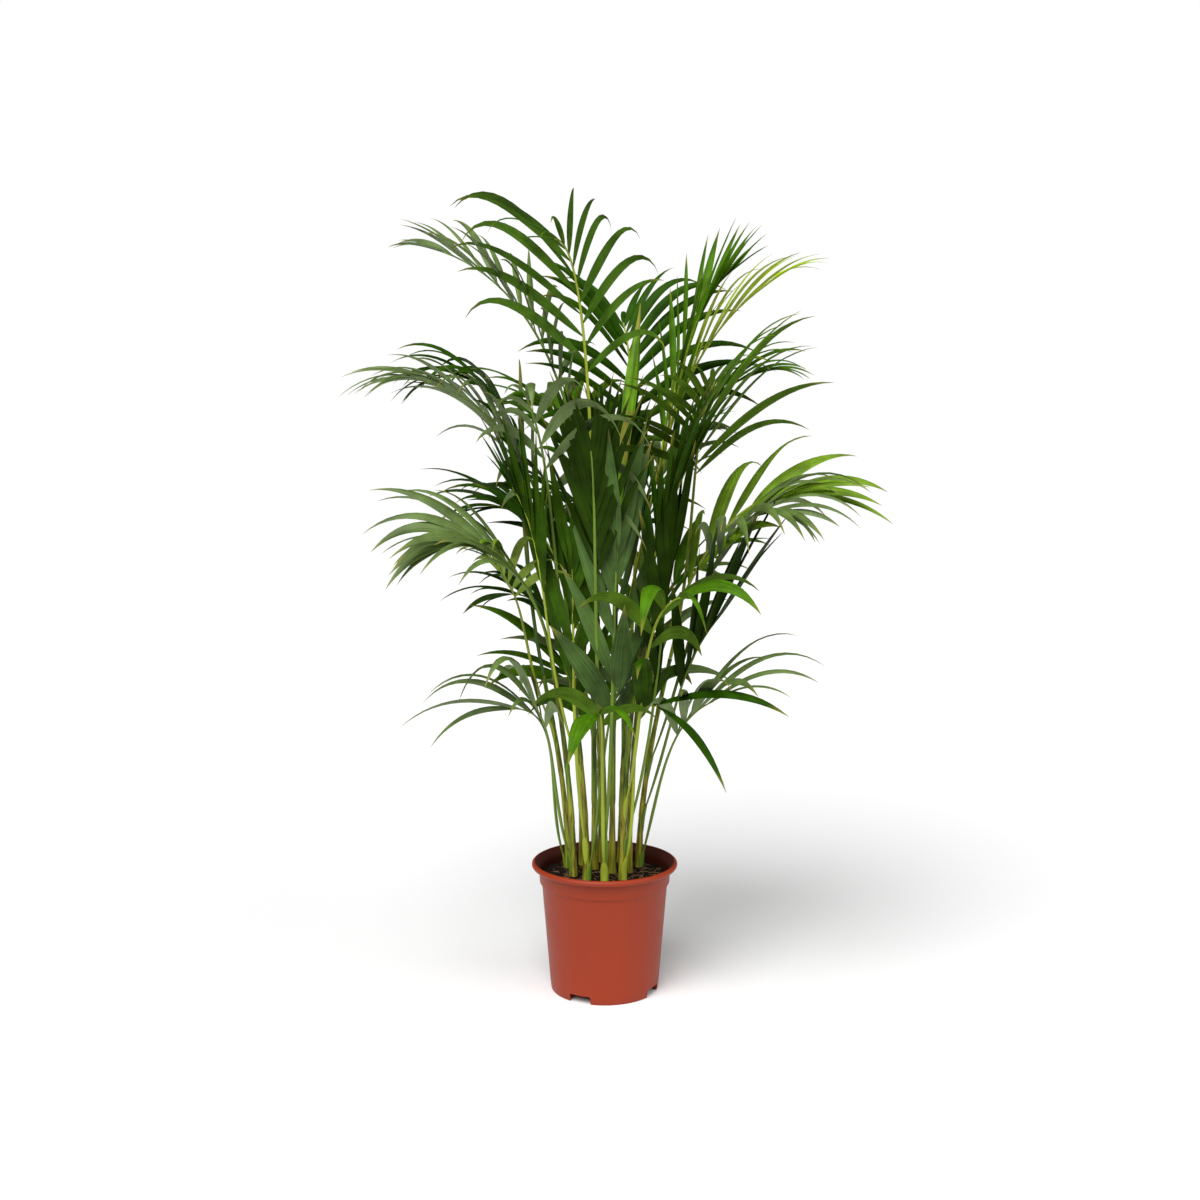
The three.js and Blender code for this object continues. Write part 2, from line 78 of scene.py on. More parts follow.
FUNNEL_DEPTH = 13.0  # from the lip down to where the inside runs straight
FUNNEL_POWER = 2.2
FUNNEL_STEPS = 7
POT_SIDES = 160
SOIL_DROP = 17.0
SOIL_TOP = POT_HEIGHT - SOIL_DROP
SOIL_RINGS = 26
SOIL_SIDES = 120
SOIL_EYE = 2.0  # radius of the innermost ring
SOIL_SMOOTH_ANGLE = 40.0
CLEAR = 0.3

# The lumps of the soil's surface: their name, size in metres and share of the relief, and the
# share of their height that lies below the soil's level
SOIL_LUMPS = (("lumps", 0.016, 1.0), ("clods", 0.005, 0.5))
SOIL_DETAIL = 3
SOIL_LEVEL = 0.6

# What lies on the soil, in millimetres: its height about the soil's level, the least and the
# most of each size, how far it keeps from the pot, how crooked a chip is, and for fibres their
# most bend in degrees and the height of their hump
DEBRIS_HEIGHT = (-1.2, 0.8)
BARK_LONG = (0.9, 3.6)
BARK_WIDE = (0.5, 1.8)
BARK_THICK = (0.4, 1.2)
BARK_MARGIN = 6.0
CHIP_SECTIONS = ((-1, 0.35), (-0.4, 1.0), (0.5, 0.8), (1, 0.2))  # place and size along a chip
CHIP_CORNERS = ((1, 0.2), (0.3, 1), (-1, 0.3), (-0.4, -1))
CHIP_TILT = 0.4
CHIP_SPREAD = 0.25
FIBRE_LENGTH = (6, 16)
FIBRE_RADIUS = (0.15, 0.32)
FIBRE_MARGIN = 14.0
FIBRE_BEND = 60.0
FIBRE_HUMP = 1.2
FIBRE_STEPS = 5

# Canes, in millimetres
CANE_FOOT_RADIUS = 4.4
CANE_TOP_RADIUS = 2.9
CANE_FLARE = 1.3
FLARE_SHARE = 0.25  # of the cane's length, over which it thickens at the soil
CANE_LEAN = 0.55
CANE_STEPS = 44
CANE_SIDES = 18
CANE_SMOOTH_ANGLE = 40.0
GUIDE_STEPS = 32  # of the curve that a straight cane is bent along
# A leaf sheath, as shares of the cane's radius and of the sheath's length
SHEATH_RADIUS = 0.94
SHEATH_TAPER = 0.12
SHEATH_LIP = 0.05
SHEATH_LIP_FROM = 0.93

# Fronds, in millimetres and degrees
PETIOLE_RADIUS = 2.4
RACHIS_TIP_RADIUS = 0.9
FOOT_TAPER = 0.55
FOOT_RISE = 1 / 6  # share of a side petiole over which it thickens above its foot
RIB_RISE = 0.42
RIB_END = 0.33
RIB_TAPER = 1.4
RIB_SIDES = 8
RIB_STEPS = 28
RIB_FLAT = 0.85
FOOT_SPLAY = 14.0
CLASP_LENGTH = 34.0
CLASP_WRAP = 65.0  # how far it reaches round the cane to each side
CLASP_THIN = 0.35
CLASP_TIP = 0.03
CLASP_NECK = 0.94
CLASP_STEPS = 12
CLASP_SIDES = 12
STAGGER = 0.45
BARE = 0.4
LAST_LEAFLETS = 0.98
BASE_ANGLE = 58.0
TIP_ANGLE = 20.0
LIFT = 24.0
TWIST = 25.0
ROOT_SIZE = 0.8
MIDDLE_SIZE = 1.1
LEAFLET_FOOT = 0.3  # where a leaflet starts, as a share of the rib's radius
BLADE_ROOT = 0.01
BLADE_PEAK = 0.75
DROOP_POWER = 1.5
CURL_POWER = 6
ANGLE_SPREAD = 4.0
LIFT_SPREAD = 8.0
LENGTH_SPREAD = 0.07
DROOP_SPREAD = 0.3
PATH_STEPS = 14

# Each cane: where it leaves the soil and where its top is.
CANES = {
    "left_front": ((-37, -8), (-62, -18, 400)),
    "left_back": ((-44, 26), (-74, 44, 370)),
    "left_inner": ((-27, 38), (-44, 66, 430)),
    "front_left": ((-21, -22), (-46, -40, 430)),
    "centre_back": ((-12, 20), (-16, 34, 480)),
    "front_centre": ((0, -30), (-8, -50, 450)),
    "centre": ((9, 4), (14, 2, 500)),
    "front_right": ((21, -22), (38, -46, 410)),
    "right_inner": ((29, 6), (50, 10, 440)),
    "right_back": ((42, 30), (80, 52, 390)),
    "back_left": ((-4, 52), (-10, 88, 410)),
    "back_right": ((20, 50), (34, 90, 420)),
}

# What a frond's leaflets are like unless its row says otherwise. spread opens their angles,
# droop bends them down, lift raises them out of the frond's plane, bias lengthens one side and
# shortens the other, end is the length of the last pair, bare is the share of the rib without
# leaflets, bend shortens the stretch that settles to the tip's pitch, roll turns the outer part
# of the frond about its rib, in degrees, and curl rolls the leaflets' tips.
USUAL = dict(spread=1, droop=1, lift=LIFT, bias=0, end=0.3, bare=BARE, bend=1, roll=0, curl=0)
NARROW = dict(spread=0.5, lift=10)
FLAT = dict(spread=0.4, lift=0)
TUFT = dict(spread=0.8, end=1, droop=2)
HANGING = dict(spread=0.6, end=1, droop=2.6)
UPRIGHT = dict(spread=0.35, lift=12, droop=0.35)
INNER = dict(spread=0.4, end=0.9, droop=0.3, bare=0.42)
OPEN_BACK = dict(bare=0.5)
TOP_LEAFLETS = dict(
    spread=0.9, droop=0.65, bend=0.8, bias=-0.2, lift=0, end=0.2, bare=0.5, curl=0.9
)

# Each frond: its cane, the height of its foot (0 for the one that carries on from the cane's
# top), the azimuth and reach of the rachis tip from the pot's axis, the tip's height and
# pitch, its pairs of leaflets, the longest leaflet's length and width, its tone, and what else
# differs.
FRONDS = [
    ("top_centre", "front_centre", 0, -118, 115, 866, -5, 9, 206, 12, "fresh", TOP_LEAFLETS),
    ("top_left", "centre_back", 0, 165, 214, 880, 15, 12, 185, 11, "grey_and_sheen", dict(droop=0.7, roll=-15)),
    ("top_right", "right_inner", 0, 15, 155, 852, 38, 10, 180, 13, "mid", dict(UPRIGHT, spread=0.5)),
    ("young_right", "centre", 420, -8, 186, 828, 34, 8, 165, 7, "young",
     dict(spread=0.32, end=0.5, droop=0.8)),
    ("mid_right", "right_back", 0, -40, 155, 715, 35, 10, 190, 12, "mid",
     dict(droop=0.85, bias=0.15, bare=0.6, roll=15)),
    ("mid_right_back", "back_right", 340, 20, 212, 738, 10, 10, 190, 14, "mid", NARROW),
    ("mid_left", "left_inner", 0, 186, 232, 722, -2, 13, 200, 11, "grey_and_sheen",
     dict(NARROW, spread=0.6, droop=1)),
    ("mid_left_front", "front_left", 0, -122, 165, 705, 40, 6, 150, 15, "grey_and_sheen",
     dict(droop=1.9, bias=0.25, curl=0.6)),
    ("mid_left_back", "left_inner", 360, 160, 222, 728, -15, 10, 180, 11, "dark", dict(FLAT, droop=1.3)),
    ("low_mid_left", "left_front", 0, 200, 188, 538, -15, 10, 185, 16, "grey_and_sheen",
     dict(spread=0.5, lift=5, droop=1.2, roll=-35)),
    ("low_mid_left_back", "left_back", 320, 180, 135, 515, 40, 6, 150, 11, "bright",
     dict(bare=0.7, droop=1.2)),
    ("upper_left", "centre_back", 380, 150, 158, 572, -5, 8, 185, 15, "dark", NARROW),
    ("low_left", "left_front", 168, 190, 88, 350, 50, 2, 140, 18, "grey_and_sheen", dict(TUFT, bare=0.75)),
    ("low_left_back", "left_back", 155, 165, 112, 332, 0, 3, 155, 13, "grey_and_sheen",
     dict(NARROW, end=0.9, droop=1.6, bare=0.65)),
    ("low_right", "right_back", 158, -15, 130, 352, 25, 5, 155, 13, "grey_and_sheen",
     dict(spread=0.8, end=0.9, bare=0.62, roll=15)),
    ("low_right_front", "front_right", 165, -45, 88, 350, -15, 2, 150, 23, "dark",
     dict(HANGING, droop=1.4, bare=0.7)),
    ("right_upright", "right_back", 215, -5, 128, 440, 52, 5, 180, 17, "deep_and_shade",
     dict(spread=0.5, end=0.9, droop=0.3, bare=0.55)),
    ("right_arch", "right_back", 275, -22, 222, 572, -10, 9, 200, 14, "grey_and_sheen",
     dict(NARROW, spread=0.7, droop=1.15, roll=25, bare=0.54)),
    ("right_bright", "right_inner", 340, 0, 228, 594, 2, 5, 165, 20, "bright",
     dict(NARROW, end=0.7, roll=45)),
    ("front_bright", "front_right", 240, -55, 148, 482, 10, 3, 115, 18, "mid",
     dict(spread=0.9, end=1, droop=1.9, bare=0.59)),
    ("front_low", "front_centre", 162, -95, 80, 345, 0, 2, 100, 20, "mid", dict(TUFT, bare=0.75)),
    ("front_left_low", "front_left", 158, -75, 62, 370, 60, 2, 125, 24, "ash",
     dict(TUFT, droop=0.3, bare=0.75)),
    ("front_mid", "front_centre", 285, -98, 110, 640, 60, 8, 180, 10, "deep_and_shade", dict(UPRIGHT, bare=0.52)),
    ("front_left_mid", "front_left", 285, -150, 120, 600, 55, 8, 180, 14, "dark", dict(UPRIGHT, bare=0.54)),
    ("centre_dark", "centre", 350, 80, 60, 650, 70, 10, 180, 14, "deep_and_shade", UPRIGHT),
    ("centre_right", "front_right", 0, -20, 110, 640, 60, 10, 180, 14, "dark", dict(spread=0.6, droop=0.6)),
    ("inner_left", "front_left", 190, -120, 75, 510, 75, 5, 150, 19, "dark", INNER),
    ("inner_front", "front_centre", 190, -80, 80, 530, 75, 5, 160, 19, "ash", INNER),
    ("inner_right", "front_right", 195, -30, 90, 520, 75, 5, 160, 18, "deep_and_shade", INNER),
    ("back_top", "back_right", 0, 80, 130, 800, 25, 10, 200, 14, "dark", OPEN_BACK),
    ("back_left", "back_left", 0, 118, 190, 700, 0, 10, 190, 14, "mid", OPEN_BACK),
    ("back_right", "back_right", 370, 66, 205, 630, -10, 9, 180, 14, "grey_and_sheen", dict(OPEN_BACK, spread=0.7)),
    ("back_mid", "back_left", 350, 98, 220, 570, -15, 9, 190, 14, "dark", OPEN_BACK),
    ("back_right_low", "back_right", 300, 48, 190, 490, -15, 6, 170, 16, "mid", dict(spread=0.7)),
    ("back_left_low", "back_left", 300, 135, 180, 460, -15, 6, 170, 16, "dark", dict(spread=0.7)),
    ("back_foot_right", "back_right", 260, 82, 130, 380, 10, 4, 160, 16, "grey_and_sheen", dict(end=0.9)),
    ("back_foot_left", "back_left", 250, 112, 120, 360, 0, 4, 150, 18, "mid", dict(end=0.9)),
]

# Each folded spear leaf: its cane, the azimuth and reach of its tip, the tip's height, how far
# it swells above its foot, and its colour.
SPEARS = [
    ("spear_centre", "centre", 50, 66, 815, 4.6, "#64901A"),
    ("spear_left", "left_back", 150, 118, 750, 1.2, "#4A6630"),
]
SPEAR_PITCH = 80
SPEAR_FOOT = 0.9
SPEAR_TIP = 0.2
SPEAR_POINT = 8  # the higher, the later a spear runs to its point
SPEAR_FLAT = 0.5

# Leaf tones as sRGB, the upper face and the paler underside, and how much they shine
TONES = {
    # The deep tone is partly painted shade: its darkest green, given to fronds in the crown's core, stands in
    # for the shade there
    "deep_and_shade": ("#183001", "#203404", 0.05),
    "dark": ("#264703", "#2E4909", 0.05),
    "fresh": ("#32570A", "#3E5D15", 0.05),
    "mid": ("#40660B", "#4B6818", 0.05),
    "ash": ("#36501A", "#415A26", 0.18),
    # The grey tone is partly painted sheen: its lighter, greyer colour stands in for light reflected off the
    # upper faces, beside the tone's real gloss
    "grey_and_sheen": ("#566B33", "#637743", 0.3),
    "bright": ("#67871D", "#788F34", 0.1),
    "young": ("#8CA61E", "#92A634", 0.1),
}

# Petioles and rachises: yellow-green, or greener where the leaflets are greyish or very dark
STALKS = {"pale": "#93A030", "green": "#627C26"}
GREEN_STALKED = ("deep_and_shade", "ash", "grey_and_sheen")

# How rough and how shiny the surfaces are; a pair runs from the least rough to the most
UNDERSIDE_ROUGHNESS = 0.6
SPEAR_ROUGHNESS = 0.4
SPEAR_GLOSS = 0.1
PETIOLE_ROUGHNESS = 0.42
CANE_ROUGHNESS = (0.4, 0.75)
CANE_GLOSS = 0.25
PEAT_ROUGHNESS = (0.55, 0.95)
PEAT_GLOSS = 0.12
POT_ROUGHNESS = (0.38, 0.56)
POT_GLOSS = 0.28
POT_IOR = 1.49
DEBRIS_ROUGHNESS = 0.85
FLOOR_ROUGHNESS = 0.9

# Fine reliefs: strength, and depth in millimetres
VEIN_RELIEF = (0.25, 0.3)
STREAK_RELIEF = (0.3, 0.3)
GRAIN_RELIEF = (0.12, 0.2)
CRUMB_RELIEF = (0.9, 1.5)

# Patterns: how many patches there are to a metre, their detail, and how they are stretched along
# each axis, longer where it is below one. A leaflet's streaks lie on the map of its blade.
LEAF_PATCHES = (35, 3)
LEAF_STREAKS = (1, 4, (7, 0.12, 1))
STALK_STREAKS = (60, 4, (1, 1, 0.15))
CANE_RIPENING = (42, 3, (1, 1, 0.2))
CANE_STREAKS = (420, 4, (1, 1, 0.05))
CANE_FRECKLES = (380, 5, (1, 1, 0.12))
CANE_PATCHES = (24, 2, (1, 1, 0.4))
POT_FLOW = (9, 3, (1, 1, 0.35))
POT_HANDLING = (45, 6)
POT_GRAIN = (900, 2)
PEAT_CRUMBS = (260, 8)
DEBRIS_TINTS = (160, 4)

# Which stretch of a pattern is used, from its least to its most, and what it turns into
PATTERN_SPAN = (0.35, 0.65)
LEAF_SPAN = (0.75, 1.25)
SCURF_SPAN = (1.07, 1.28)
CRUMB_AND_HOLLOW_SHADE_SPAN = (0.35, 0.7)
RIPENING = (-0.6, 0.6)
# The canes' streak range is partly painted shade and highlight
STREAK_SHADE_AND_HIGHLIGHT = (0.35, 1.4)

# How much darker and lighter each colour runs
LEAF_SHADES = (0.55, 1.5)
STALK_SHADES = (0.6, 1.35)
POT_SHADES = (0.9, 1.1)
PEAT_SHADES = (0.35, 1.9)
DEBRIS_SHADES = (0.3, 1.8)

# A leaflet's dry tip: over how many steps of its path, and how far it turns to straw
DRY_STEPS = 2.2
DRY_SHARE = 0.8
STRAW = "#8C8436"
CANE_GREEN_HEIGHT = 360.0  # in millimetres, from where on a cane is green

# Across a blade, point by point: place as a share of the half width, how far it lies below the
# midrib as a share of the same, and its height in the blade's thickness
BLADE_SECTION = ((-1, 0.3, 0), (0, 0, -1.6), (1, 0.3, 0), (0.5, 0.07, 0.5), (0, 0, 0.6), (-0.5, 0.07, 0.5))
BLADE_PLACES = (-1, 0, 1, 0.5, 0, -0.5, -1)
BLADE_SLOTS = (1, 1, 0, 0, 0, 0)
BLADE_TIP = 0.12  # half the width that a blade ends in, in millimetres
BLADE_FULL = 2.0  # half the width from which on it has its full thickness
VEINS = "veins"  # the map across each blade, -1 to 1, and along it, in steps of its path
STRIP = 20  # steps of the map from one blade to the next
VEIN_TURN = 42.0  # about seven veins to each half of a blade
SMOOTH_ANGLE = 50  # for leaflets, stalks and debris
SPEAR_SIDES = 16
SPEAR_STEPS = 40
SPEAR_PLEAT = 0.3
SEED = 11

# The camera, matched to the photograph's rim and base: place in metres, degrees down, and lens
CAMERA_PLACE = (-0.0055, -1.6, 0.627)
CAMERA_DOWN = 5.72
CAMERA_LENS = 41.09

# Where the lights stand, in degrees: azimuth and height above the ground
KEY_AZIMUTH = -115
KEY_HEIGHT = 50
FILL_AZIMUTH = -30
FILL_HEIGHT = 35

# The floor, in metres: its side and its height, just clear of the pot's underside
FLOOR_SIZE = 12
FLOOR_PLACE = -0.0005
WHITE = (1, 1, 1, 1)


def linear(code):
    """An sRGB hex colour as linear RGBA."""
    parts = [int(code[i : i + 2], 16) / 255 for i in (1, 3, 5)]
    return tuple(c / 12.92 if c <= 0.04045 else ((c + 0.055) / 1.055) ** 2.4 for c in parts) + (1.0,)


def lerp(a, b, t):
    return a + (b - a) * t


def shares(steps):
    """Even shares, from 0 up to 1."""
    return [i / steps for i in range(steps + 1)]


def circle(sides):
    """The corners of a section round a unit circle."""
    turns = [2 * math.pi * t for t in shares(sides)[:-1]]
    return [(math.cos(turn), math.sin(turn)) for turn in turns]


def unit(v):
    return v / np.linalg.norm(v)


def square(v, way):
    """The direction of v at a right angle to the unit vector way."""
    return unit(v - way * (v @ way))


def tilted(v, towards, degrees):
    """v tilted towards a vector at a right angle to it."""
    a = math.radians(degrees)
    return v * math.cos(a) + towards * math.sin(a)


def turned(v, axis, degrees):
    """v turned about a unit axis."""
    held = axis * (axis @ v)
    return held + tilted(v - held, np.cross(axis, v), degrees)


EAST, NORTH, UP = np.eye(3)


def heading(degrees):
    """A direction in the ground plane."""
    return tilted(EAST, NORTH, degrees)


def chance(frond, leaf, purpose):
    """A repeatable number from -1 to 1 for each frond, leaflet and purpose."""
    mask = 0xFFFFFFFF
    h = ((frond + 1) * 73856093 & mask) ^ ((leaf + 1) * 19349663 & mask) ^ ((purpose + 1) * 83492791 & mask)
    h = (h ^ (h >> 15)) * 2246822519 & mask
    h = (h ^ (h >> 13)) * 3266489917 & mask
    return (h ^ (h >> 16)) / 2147483648 - 1


class Curve:
    """A cubic curve through four control points, in millimetres."""

    def __init__(self, *points):
        self.points = [np.array(p, float) for p in points]

    def at(self, t):
        a, b, c, d = self.points
        k = 1 - t
        return k**3 * a + 3 * k * k * t * b + 3 * k * t * t * c + t**3 * d

    def along(self, t):
        a, b, c, d = self.points
        k = 1 - t
        return unit(3 * k * k * (b - a) + 6 * k * t * (c - b) + 3 * t * t * (d - c))


def cane_curve(name):
    """A cane's axis, upright at the soil and leaning out towards its top."""
    foot, top = CANES[name]
    start = np.array([*foot, SOIL_TOP + CLEAR])
    end = np.array(top, float)
    rise = UP * (end[2] - start[2]) / 3
    lean = (end - start) * (1, 1, 0) * CANE_LEAN
    return Curve(start, start + rise, end - lean - rise, end)


def cane_radius(t):
    flare = 1 + (CANE_FLARE - 1) * max(0, 1 - t / FLARE_SHARE)
    return lerp(CANE_FOOT_RADIUS, CANE_TOP_RADIUS, t) * flare


class Rib:
    """The rib of a frond, from its cane to the tip of its rachis."""

    def __init__(self, cane, foot, azimuth, reach, tip_height, pitch, habit):
        tip = heading(azimuth) * reach + UP * tip_height
        axis = cane_curve(cane)
        self.at_top = foot == 0
        t = 1 if self.at_top else (foot - SOIL_TOP) / (CANES[cane][1][2] - SOIL_TOP)
        at, rise = axis.at(t), axis.along(t)
        level = (tip - at) * (1, 1, 0)
        outward = unit(level)
        level_side = np.cross(UP, outward)
        start = at + rise * CLEAR
        if not self.at_top:
            start = at + outward * (cane_radius(t) + PETIOLE_RADIUS * FOOT_TAPER + CLEAR)
            rise = turned(rise, level_side, FOOT_SPLAY)
        length = np.linalg.norm(tip - start)
        settle = min(length * RIB_END, habit["bend"] * np.linalg.norm(level))
        slope = tilted(outward, UP, pitch)
        self.curve = Curve(start, start + rise * length * RIB_RISE, tip - slope * settle, tip)
        self.axis, self.foot_share, self.outward = axis, t, outward
        self.sideways = turned(level_side, outward, habit["roll"])

    def frame(self, t):
        """The point at t, the direction there, the vector to its side and out of its upper face."""
        along = self.curve.along(t)
        side = square(self.sideways, along)
        return self.curve.at(t), along, side, np.cross(along, side)

    def radius(self, t):
        foot = 1 if self.at_top else lerp(FOOT_TAPER, 1, min(1, t / FOOT_RISE))
        return lerp(PETIOLE_RADIUS, RACHIS_TIP_RADIUS, t**RIB_TAPER) * foot


def blade_share(s):
    """A leaflet's width along its length: widest before its middle, drawn out to a fine point."""
    return math.sin(math.pi * lerp(BLADE_ROOT, 1, s) ** BLADE_PEAK)


def leaflet_path(rib, habit, leaf, frond_index, leaf_index, u, side):
    """The points along one leaflet, with its direction and the vector across its blade at each."""

    def wander(purpose):
        return chance(frond_index, leaf_index, purpose)

    t = lerp(habit["bare"], LAST_LEAFLETS, u)
    at, rachis, sideways, upper = rib.frame(t)
    opened = lerp(BASE_ANGLE, TIP_ANGLE, u) + ANGLE_SPREAD * wander(0)
    lift = habit["lift"] + LIFT_SPREAD * wander(1)
    along = tilted(rachis, tilted(sideways * side, upper, lift), opened * habit["spread"])
    across = turned(square(rachis, along), along, TWIST * wander(4))
    size = lerp(ROOT_SIZE, habit["end"], u) + MIDDLE_SIZE * u * (1 - u)
    length = leaf * size * (1 + habit["bias"] * side) * (1 + LENGTH_SPREAD * wander(2))
    droop = habit["droop"] * (1 + DROOP_SPREAD * wander(3))
    curl = habit["curl"] * (1 + wander(5))
    if np.cross(across, along) @ upper > 0:
        across = -across
    points = [at + along * LEAFLET_FOOT * rib.radius(t)]
    ways = [along]
    spans = [across]
    for s in shares(PATH_STEPS)[1:]:
        way = unit(along - UP * (droop * s**DROOP_POWER + curl * s**CURL_POWER))
        points.append(points[-1] + unit(way + ways[-1]) * length / PATH_STEPS)
        ways.append(way)
        spans.append(square(spans[-1], way))
    return points, ways, spans, length


class Meshes:
    """Closed strips and tubes gathered into one mesh, in millimetres until it is made, with the
    names of the solids that it stands for."""

    def __init__(self, *nodes):
        self.nodes = list(nodes)
        self.points, self.faces, self.slots, self.places = [], [], [], []
        self.start = 0  # where the next strip lies in the map along the blades

    def add(self, rings, places=None, slots=None):
        """Rings of equal length joined to each other and closed at both ends. Unless places and
        slots are given, the map runs evenly round them and all takes the first material."""
        first = len(self.points)
        count = len(rings[0])
        places = places or shares(count)
        slots = slots or [0] * count
        for ring in rings:
            self.points.extend(ring)
        for r in range(len(rings) - 1):
            for i in range(count):
                j = (i + 1) % count
                a, b = first + r * count, first + (r + 1) * count
                self.faces.append((a + i, a + j, b + j, b + i))
                self.slots.append(slots[i])
                left, right, here = places[i], places[i + 1], self.start + r
                self.places.extend([(left, here), (right, here), (right, here + 1), (left, here + 1)])
        for r, turn in ((0, -1), (len(rings) - 1, 1)):
            self.faces.append(tuple([first + r * count + i for i in range(count)][::turn]))
            self.slots.append(slots[0])
            self.places.extend([(places[0], self.start + r)] * count)
        self.start += STRIP

    def make(self, name, slot, *materials):
        """Makes the mesh a finished piece."""
        mesh = bpy.data.meshes.new(name)
        mesh.from_pydata([tuple(p * MM) for p in self.points], [], self.faces)
        layer = mesh.uv_layers.new(name=VEINS)
        layer.data.foreach_set("uv", [c for place in self.places for c in place])
        finish_piece(new_object(name, mesh), slot, self.nodes, SMOOTH_ANGLE, *materials)
        mesh.polygons.foreach_set("material_index", self.slots)
        mesh.update()


def add_leaflet(meshes, path, width, thickness, twist):
    """One blade, folded down a little from its midrib."""
    points, ways, spans, _length = path
    rings = []
    for s, at, way, span in zip(shares(PATH_STEPS), points, ways, spans):
        flat = turned(span, way, twist * s * s)
        over = np.cross(way, flat)
        half = max(0.5 * width * blade_share(s), BLADE_TIP)
        thick = thickness * min(1, half / BLADE_FULL)
        ring = [at + flat * x * half - over * (fold * half - z * thick) for x, fold, z in BLADE_SECTION]
        rings.append(ring)
    meshes.add(rings, BLADE_PLACES, BLADE_SLOTS)


def add_stalk(meshes, rib):
    """A frond's petiole and rachis, a little flatter than they are wide."""
    rings = []
    for t in shares(RIB_STEPS):
        at, _along, side, upper = rib.frame(t)
        r = rib.radius(t)
        rings.append([at + (side * x + upper * y * RIB_FLAT) * r for x, y in circle(RIB_SIDES)])
    meshes.add(rings)


def add_clasp(meshes, rib):
    """The sheath by which a side petiole clasps its cane: wrapped round the cane's skin, it thins
    and narrows downwards until it runs out."""
    share = CLASP_LENGTH / (rib.axis.points[3][2] - SOIL_TOP)
    rings = []
    for up in shares(CLASP_STEPS):
        t = max(0, rib.foot_share - share * (1 - up))
        along = rib.axis.along(t)
        out = square(rib.outward, along)
        side = np.cross(out, along)
        skin = cane_radius(t) * SHEATH_RADIUS
        thick = PETIOLE_RADIUS * FOOT_TAPER * lerp(CLASP_THIN, 1, up)
        wrap = CLASP_WRAP * math.sin(math.pi * lerp(CLASP_TIP, CLASP_NECK, up))
        ring = []
        for x, y in circle(CLASP_SIDES):
            away = skin + thick * (y + lerp(-1, 1, up))
            ring.append(rib.axis.at(t) + tilted(out, side, wrap * x) * away)
        rings.append(ring)
    meshes.add(rings)


def new_object(name, data):
    """An object in the scene with the given mesh, curve, light or camera."""
    made = bpy.data.objects.new(name, data)
    bpy.context.collection.objects.link(made)
    return made


def select_only(piece):
    bpy.ops.object.select_all(action="DESELECT")
    piece.select_set(True)
    bpy.context.view_layer.objects.active = piece


def finish_piece(piece, slot, nodes, angle, *materials):
    """Shades a piece smooth but for the edges where its faces turn by more than the angle, and
    gives it these materials and no others. It moves with the plant's one body and stands for the
    named solids."""
    select_only(piece)
    bpy.ops.object.shade_smooth_by_angle(angle=math.radians(angle))
    piece.data.materials.clear()
    for material in materials:
        piece.data.materials.append(material)
    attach(piece, "root")
    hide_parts(*nodes)


def place_in_mesh(piece):
    """Moves an object's place into its mesh, so that the object sits unturned at the origin."""
    select_only(piece)
    bpy.ops.object.transform_apply(location=True, rotation=True, scale=True)


def apply_modifier(piece, kind, **settings):
    """Gives a piece a modifier with these settings and applies it."""
    select_only(piece)
    modifier = piece.modifiers.new(kind.lower(), kind)
    for key, value in settings.items():
        setattr(modifier, key, value)
    bpy.ops.object.modifier_apply(modifier=modifier.name)


def node(tree, kind, settings=None, output=0):
    """Adds a shader node and returns one of its outputs. Each setting goes to the value or the
    socket of that name or number, and is a plain value or another node's output."""
    made = tree.nodes.new("ShaderNode" + kind)
    for key, value in (settings or {}).items():
        if isinstance(value, bpy.types.NodeSocket):
            tree.links.new(value, made.inputs[key])
        elif isinstance(key, str) and hasattr(made, key):
            setattr(made, key, value)
        else:
            made.inputs[key].default_value = value
    return made.outputs[output] if made.outputs else None


def start_material(name):
    material = bpy.data.materials.new(name)
    material.use_nodes = True
    material.node_tree.nodes.clear()
    return material, material.node_tree


def finished(material, settings):
    """A material ended in its shader, which has these settings."""
    shader = node(material.node_tree, "BsdfPrincipled", settings)
    node(material.node_tree, "OutputMaterial", {"Surface": shader})
    return material


def mixed(tree, share, first, second, way="MIX"):
    """Two colours mixed by a share."""
    settings = {"data_type": "RGBA", "blend_type": way, 0: share, 6: first, 7: second}
    return node(tree, "Mix", settings, 2)


def shaded(tree, colour, shades, share):
    """A colour that runs from its darker to its lighter shade with the share."""
    darker, lighter = [tuple(min(1.0, c * factor) for c in colour[:3]) + (1.0,) for factor in shades]
    return mixed(tree, share, darker, lighter)


def relief(tree, strength, depth, height):
    """The normals of a fine relief, its depth in millimetres."""
    return node(tree, "Bump", {"Strength": strength, "Distance": depth * MM, "Height": height})


def reckoned(tree, operation, *inputs):
    """A sum, a product or the like of its inputs."""
    return node(tree, "Math", {"operation": operation, **dict(enumerate(inputs))})


def object_place(tree):
    """Object coordinates, which are in metres."""
    return node(tree, "TexCoord", output="Object")


def noise(tree, scale, detail, stretch=(1, 1, 1), place=None):
    """A pattern of noise, which lies in the object's own coordinates unless a place is given."""
    stretched = node(tree, "Mapping", {"Vector": place or object_place(tree), "Scale": stretch})
    return node(tree, "TexNoise", {"Vector": stretched, "Scale": scale, "Detail": detail})


def carried(tree, source, low, high, first=0, last=1):
    """A value between low and high carried to the range from first to last, and kept in it."""
    settings = {"Value": source, "From Min": low, "From Max": high, "To Min": first, "To Max": last}
    return node(tree, "MapRange", settings)


